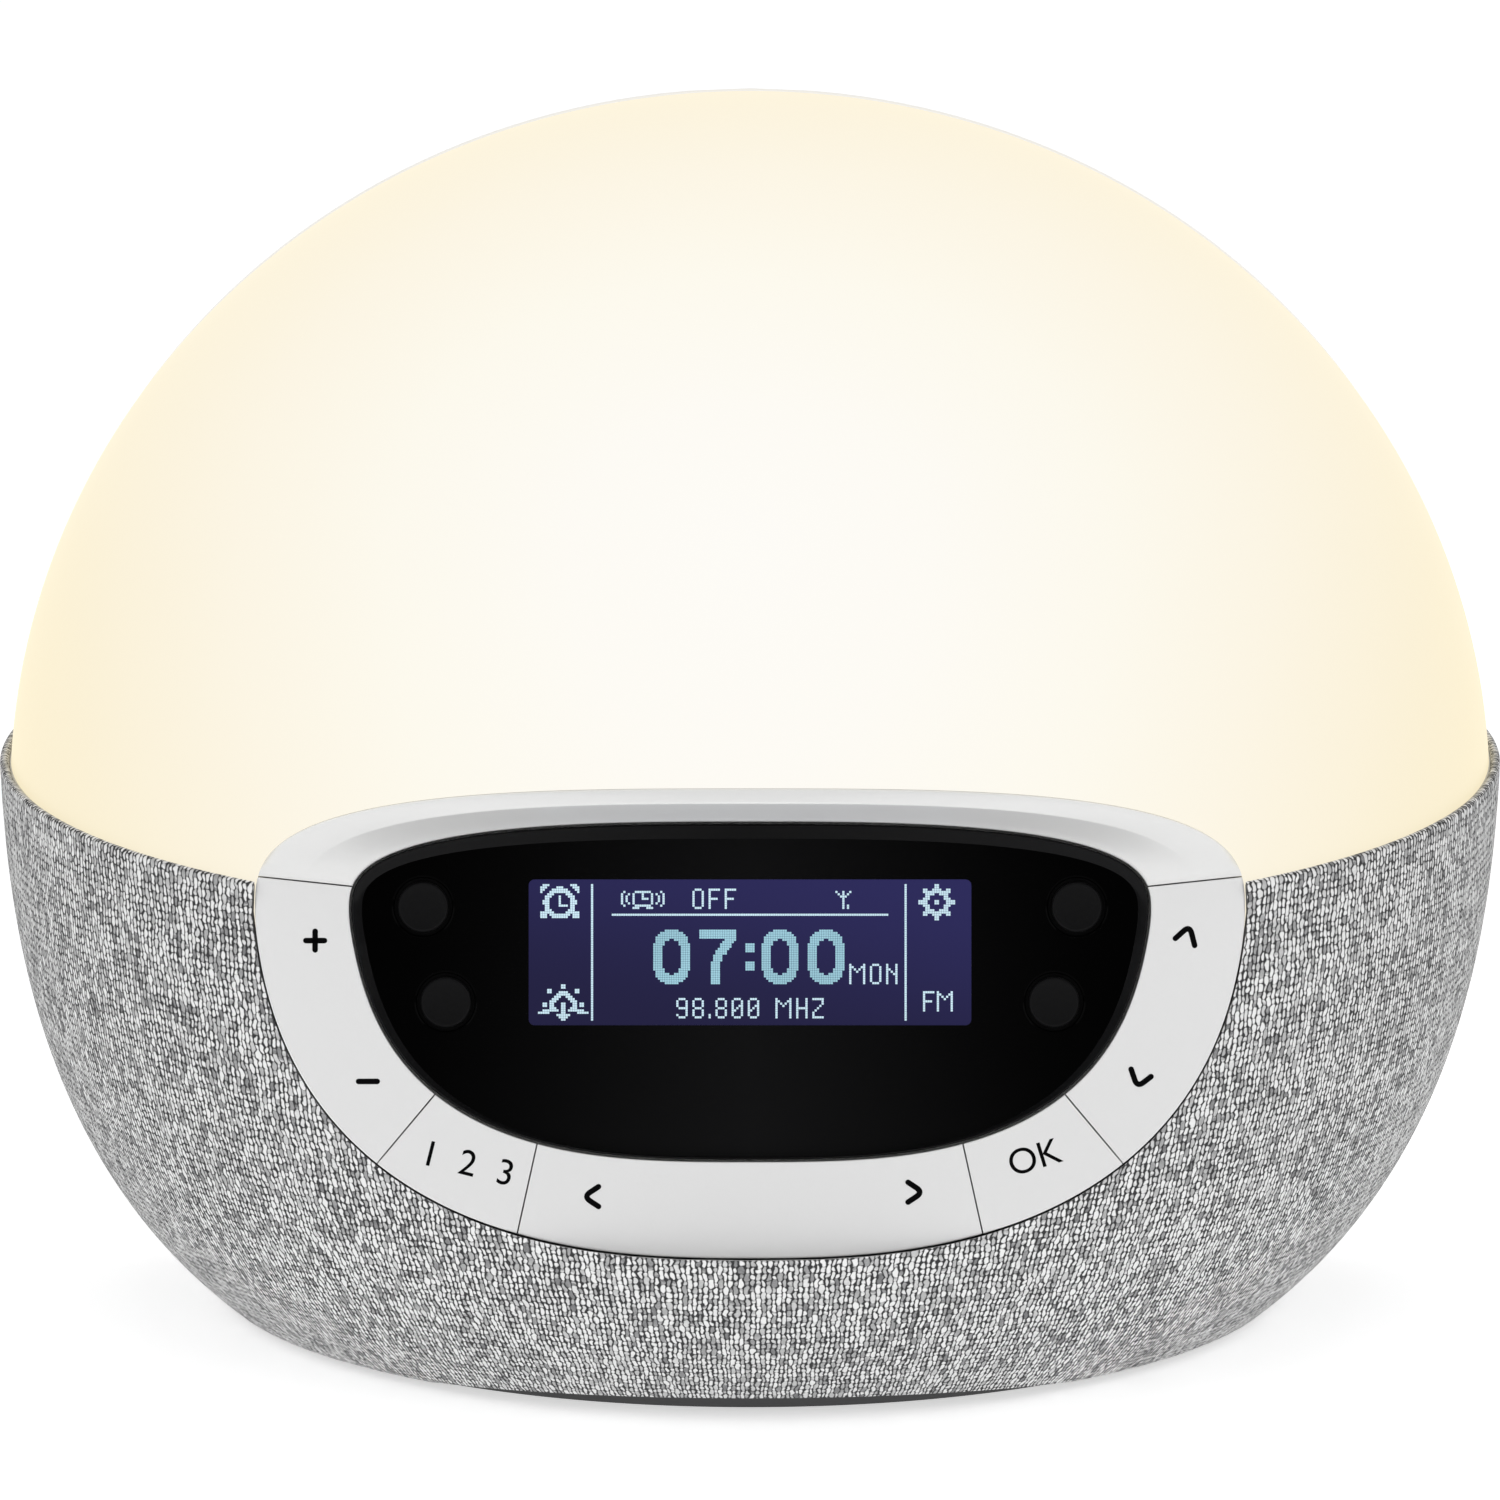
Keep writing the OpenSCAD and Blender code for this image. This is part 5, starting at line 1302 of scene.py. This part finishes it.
def ink_word(name, letters, place, turned, body):
    """Plain print on a key, made a mesh before it is placed."""
    curve = bpy.data.curves.new(name, "FONT")
    curve.body = letters
    curve.size = WORD_SIZE
    curve.align_x = "CENTER"
    curve.align_y = "CENTER"
    curve.extrude = INK_T / 2
    text = bpy.data.objects.new(name + "_text", curve)
    bpy.context.scene.collection.objects.link(text)
    mesh = bpy.data.meshes.new_from_object(text.evaluated_get(bpy.context.evaluated_depsgraph_get()))
    bpy.data.objects.remove(text)
    bm = bmesh.new()
    bm.from_mesh(mesh)
    bpy.data.meshes.remove(mesh)
    on_key = Matrix.Translation((*place, 0)) @ Matrix.Rotation(radians(turned), 4, "Z")
    bmesh.ops.transform(bm, matrix=on_key, verts=bm.verts)
    piece(bm, name, INK, "key_plastic", PANEL, body=body)


# ---- the rest of the solids keep their own shape ----

def dress_solids():
    """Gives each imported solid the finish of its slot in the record."""
    for part in frame["record"]["subparts"]:
        for slot in nodes[part["node"]].material_slots:
            slot.material = FINISHES[part["material_slot"]]


# ---- floor, lights and camera ----
FLOOR_HALF = 3000
ROOM_LIGHT = 0.45
FLOOR_SEEN = 0.13
# Each softbox with its place, its two sides and its power, in metres and watts
SOFTBOXES = {
    "left_softbox": ((-0.9, -1.0, 0.7), (0.9, 0.9), 3.7),
    "right_softbox": ((0.9, -1.0, 0.7), (0.9, 0.9), 3.7),
    "top_softbox": ((0, 0.1, 1.3), (1.2, 1.2), 3.4),
    "low_softbox": ((0, -1.2, 0.15), (1.0, 0.3), 0.9),
}
SOFTBOX_AIM = (0, 0, 0.07)
CAMERA_AIM = (0, 0, 0.0827)
CAMERA_AWAY, CAMERA_RISE = 2.919, radians(12.8)
CAMERA_LENS, CAMERA_SHIFT = 500.4, -0.0268


def build_stage():
    """The floor, a little brighter to the eye than the light it gives, and an even white room."""
    bm = bmesh.new()
    bmesh.ops.create_grid(bm, x_segments=1, y_segments=1, size=FLOOR_HALF)
    floor = make_object(bm, "studio_floor", IN_METRES)
    material, tree, shader = new_material("studio_floor", Base_Color=(0.8, 0.8, 0.8, 1.0), Roughness=0.8)
    path = add_node(tree, "LightPath").outputs
    seen = calc(tree, "MAXIMUM", path["Is Camera Ray"], calc(
        tree, "MAXIMUM", path["Is Glossy Ray"], path["Is Transmission Ray"]))
    glow = calc(tree, "MULTIPLY_ADD", seen, FLOOR_SEEN, ROOM_LIGHT)
    tree.links.new(glow, shader.inputs["Emission Strength"])
    shader.inputs["Emission Color"].default_value = (1, 1, 1, 1)
    floor.data.materials.append(material)

    world = bpy.data.worlds.new("studio")
    bpy.context.scene.world = world
    world.use_nodes = True
    tree = world.node_tree
    tree.nodes.clear()
    path = add_node(tree, "LightPath").outputs
    level = add_node(tree, "MapRange", {0: path["Is Camera Ray"], 3: ROOM_LIGHT, 4: 1.0}).outputs[0]
    sky = add_node(tree, "Background", {"Color": (1, 1, 1, 1), "Strength": level})
    tree.links.new(sky.outputs[0], add_node(tree, "OutputWorld").inputs[0])


def aim_at(obj, place, target):
    """Puts a light or the camera at a place, turned towards its target."""
    bpy.context.scene.collection.objects.link(obj)
    obj.location = place
    obj.rotation_euler = (Vector(target) - Vector(place)).to_track_quat("-Z", "Y").to_euler()


def light_scene():
    for name, (place, sides, power) in SOFTBOXES.items():
        light = bpy.data.lights.new(name, "AREA")
        light.shape = "RECTANGLE"
        light.size, light.size_y = sides
        light.energy = power
        aim_at(bpy.data.objects.new(name, light), place, SOFTBOX_AIM)


def add_camera():
    data = bpy.data.cameras.new("camera")
    data.lens = CAMERA_LENS
    data.sensor_width = 36.0
    data.shift_y = CAMERA_SHIFT
    data.clip_end = 20
    camera = bpy.data.objects.new("camera", data)
    away = Vector((0, -cos(CAMERA_RISE), sin(CAMERA_RISE))) * CAMERA_AWAY
    aim_at(camera, Vector(CAMERA_AIM) + away, CAMERA_AIM)
    bpy.context.scene.camera = camera


bpy.context.scene.view_settings.view_transform = "Standard"
dress_solids()
build_dome()
build_fabric()
build_foot()
build_rear_cover()
build_hood()
ring = key_ring()
build_keys(ring)
ring.free()
build_window()
build_buttons()
build_display()
build_marks()
build_stage()
light_scene()
add_camera()
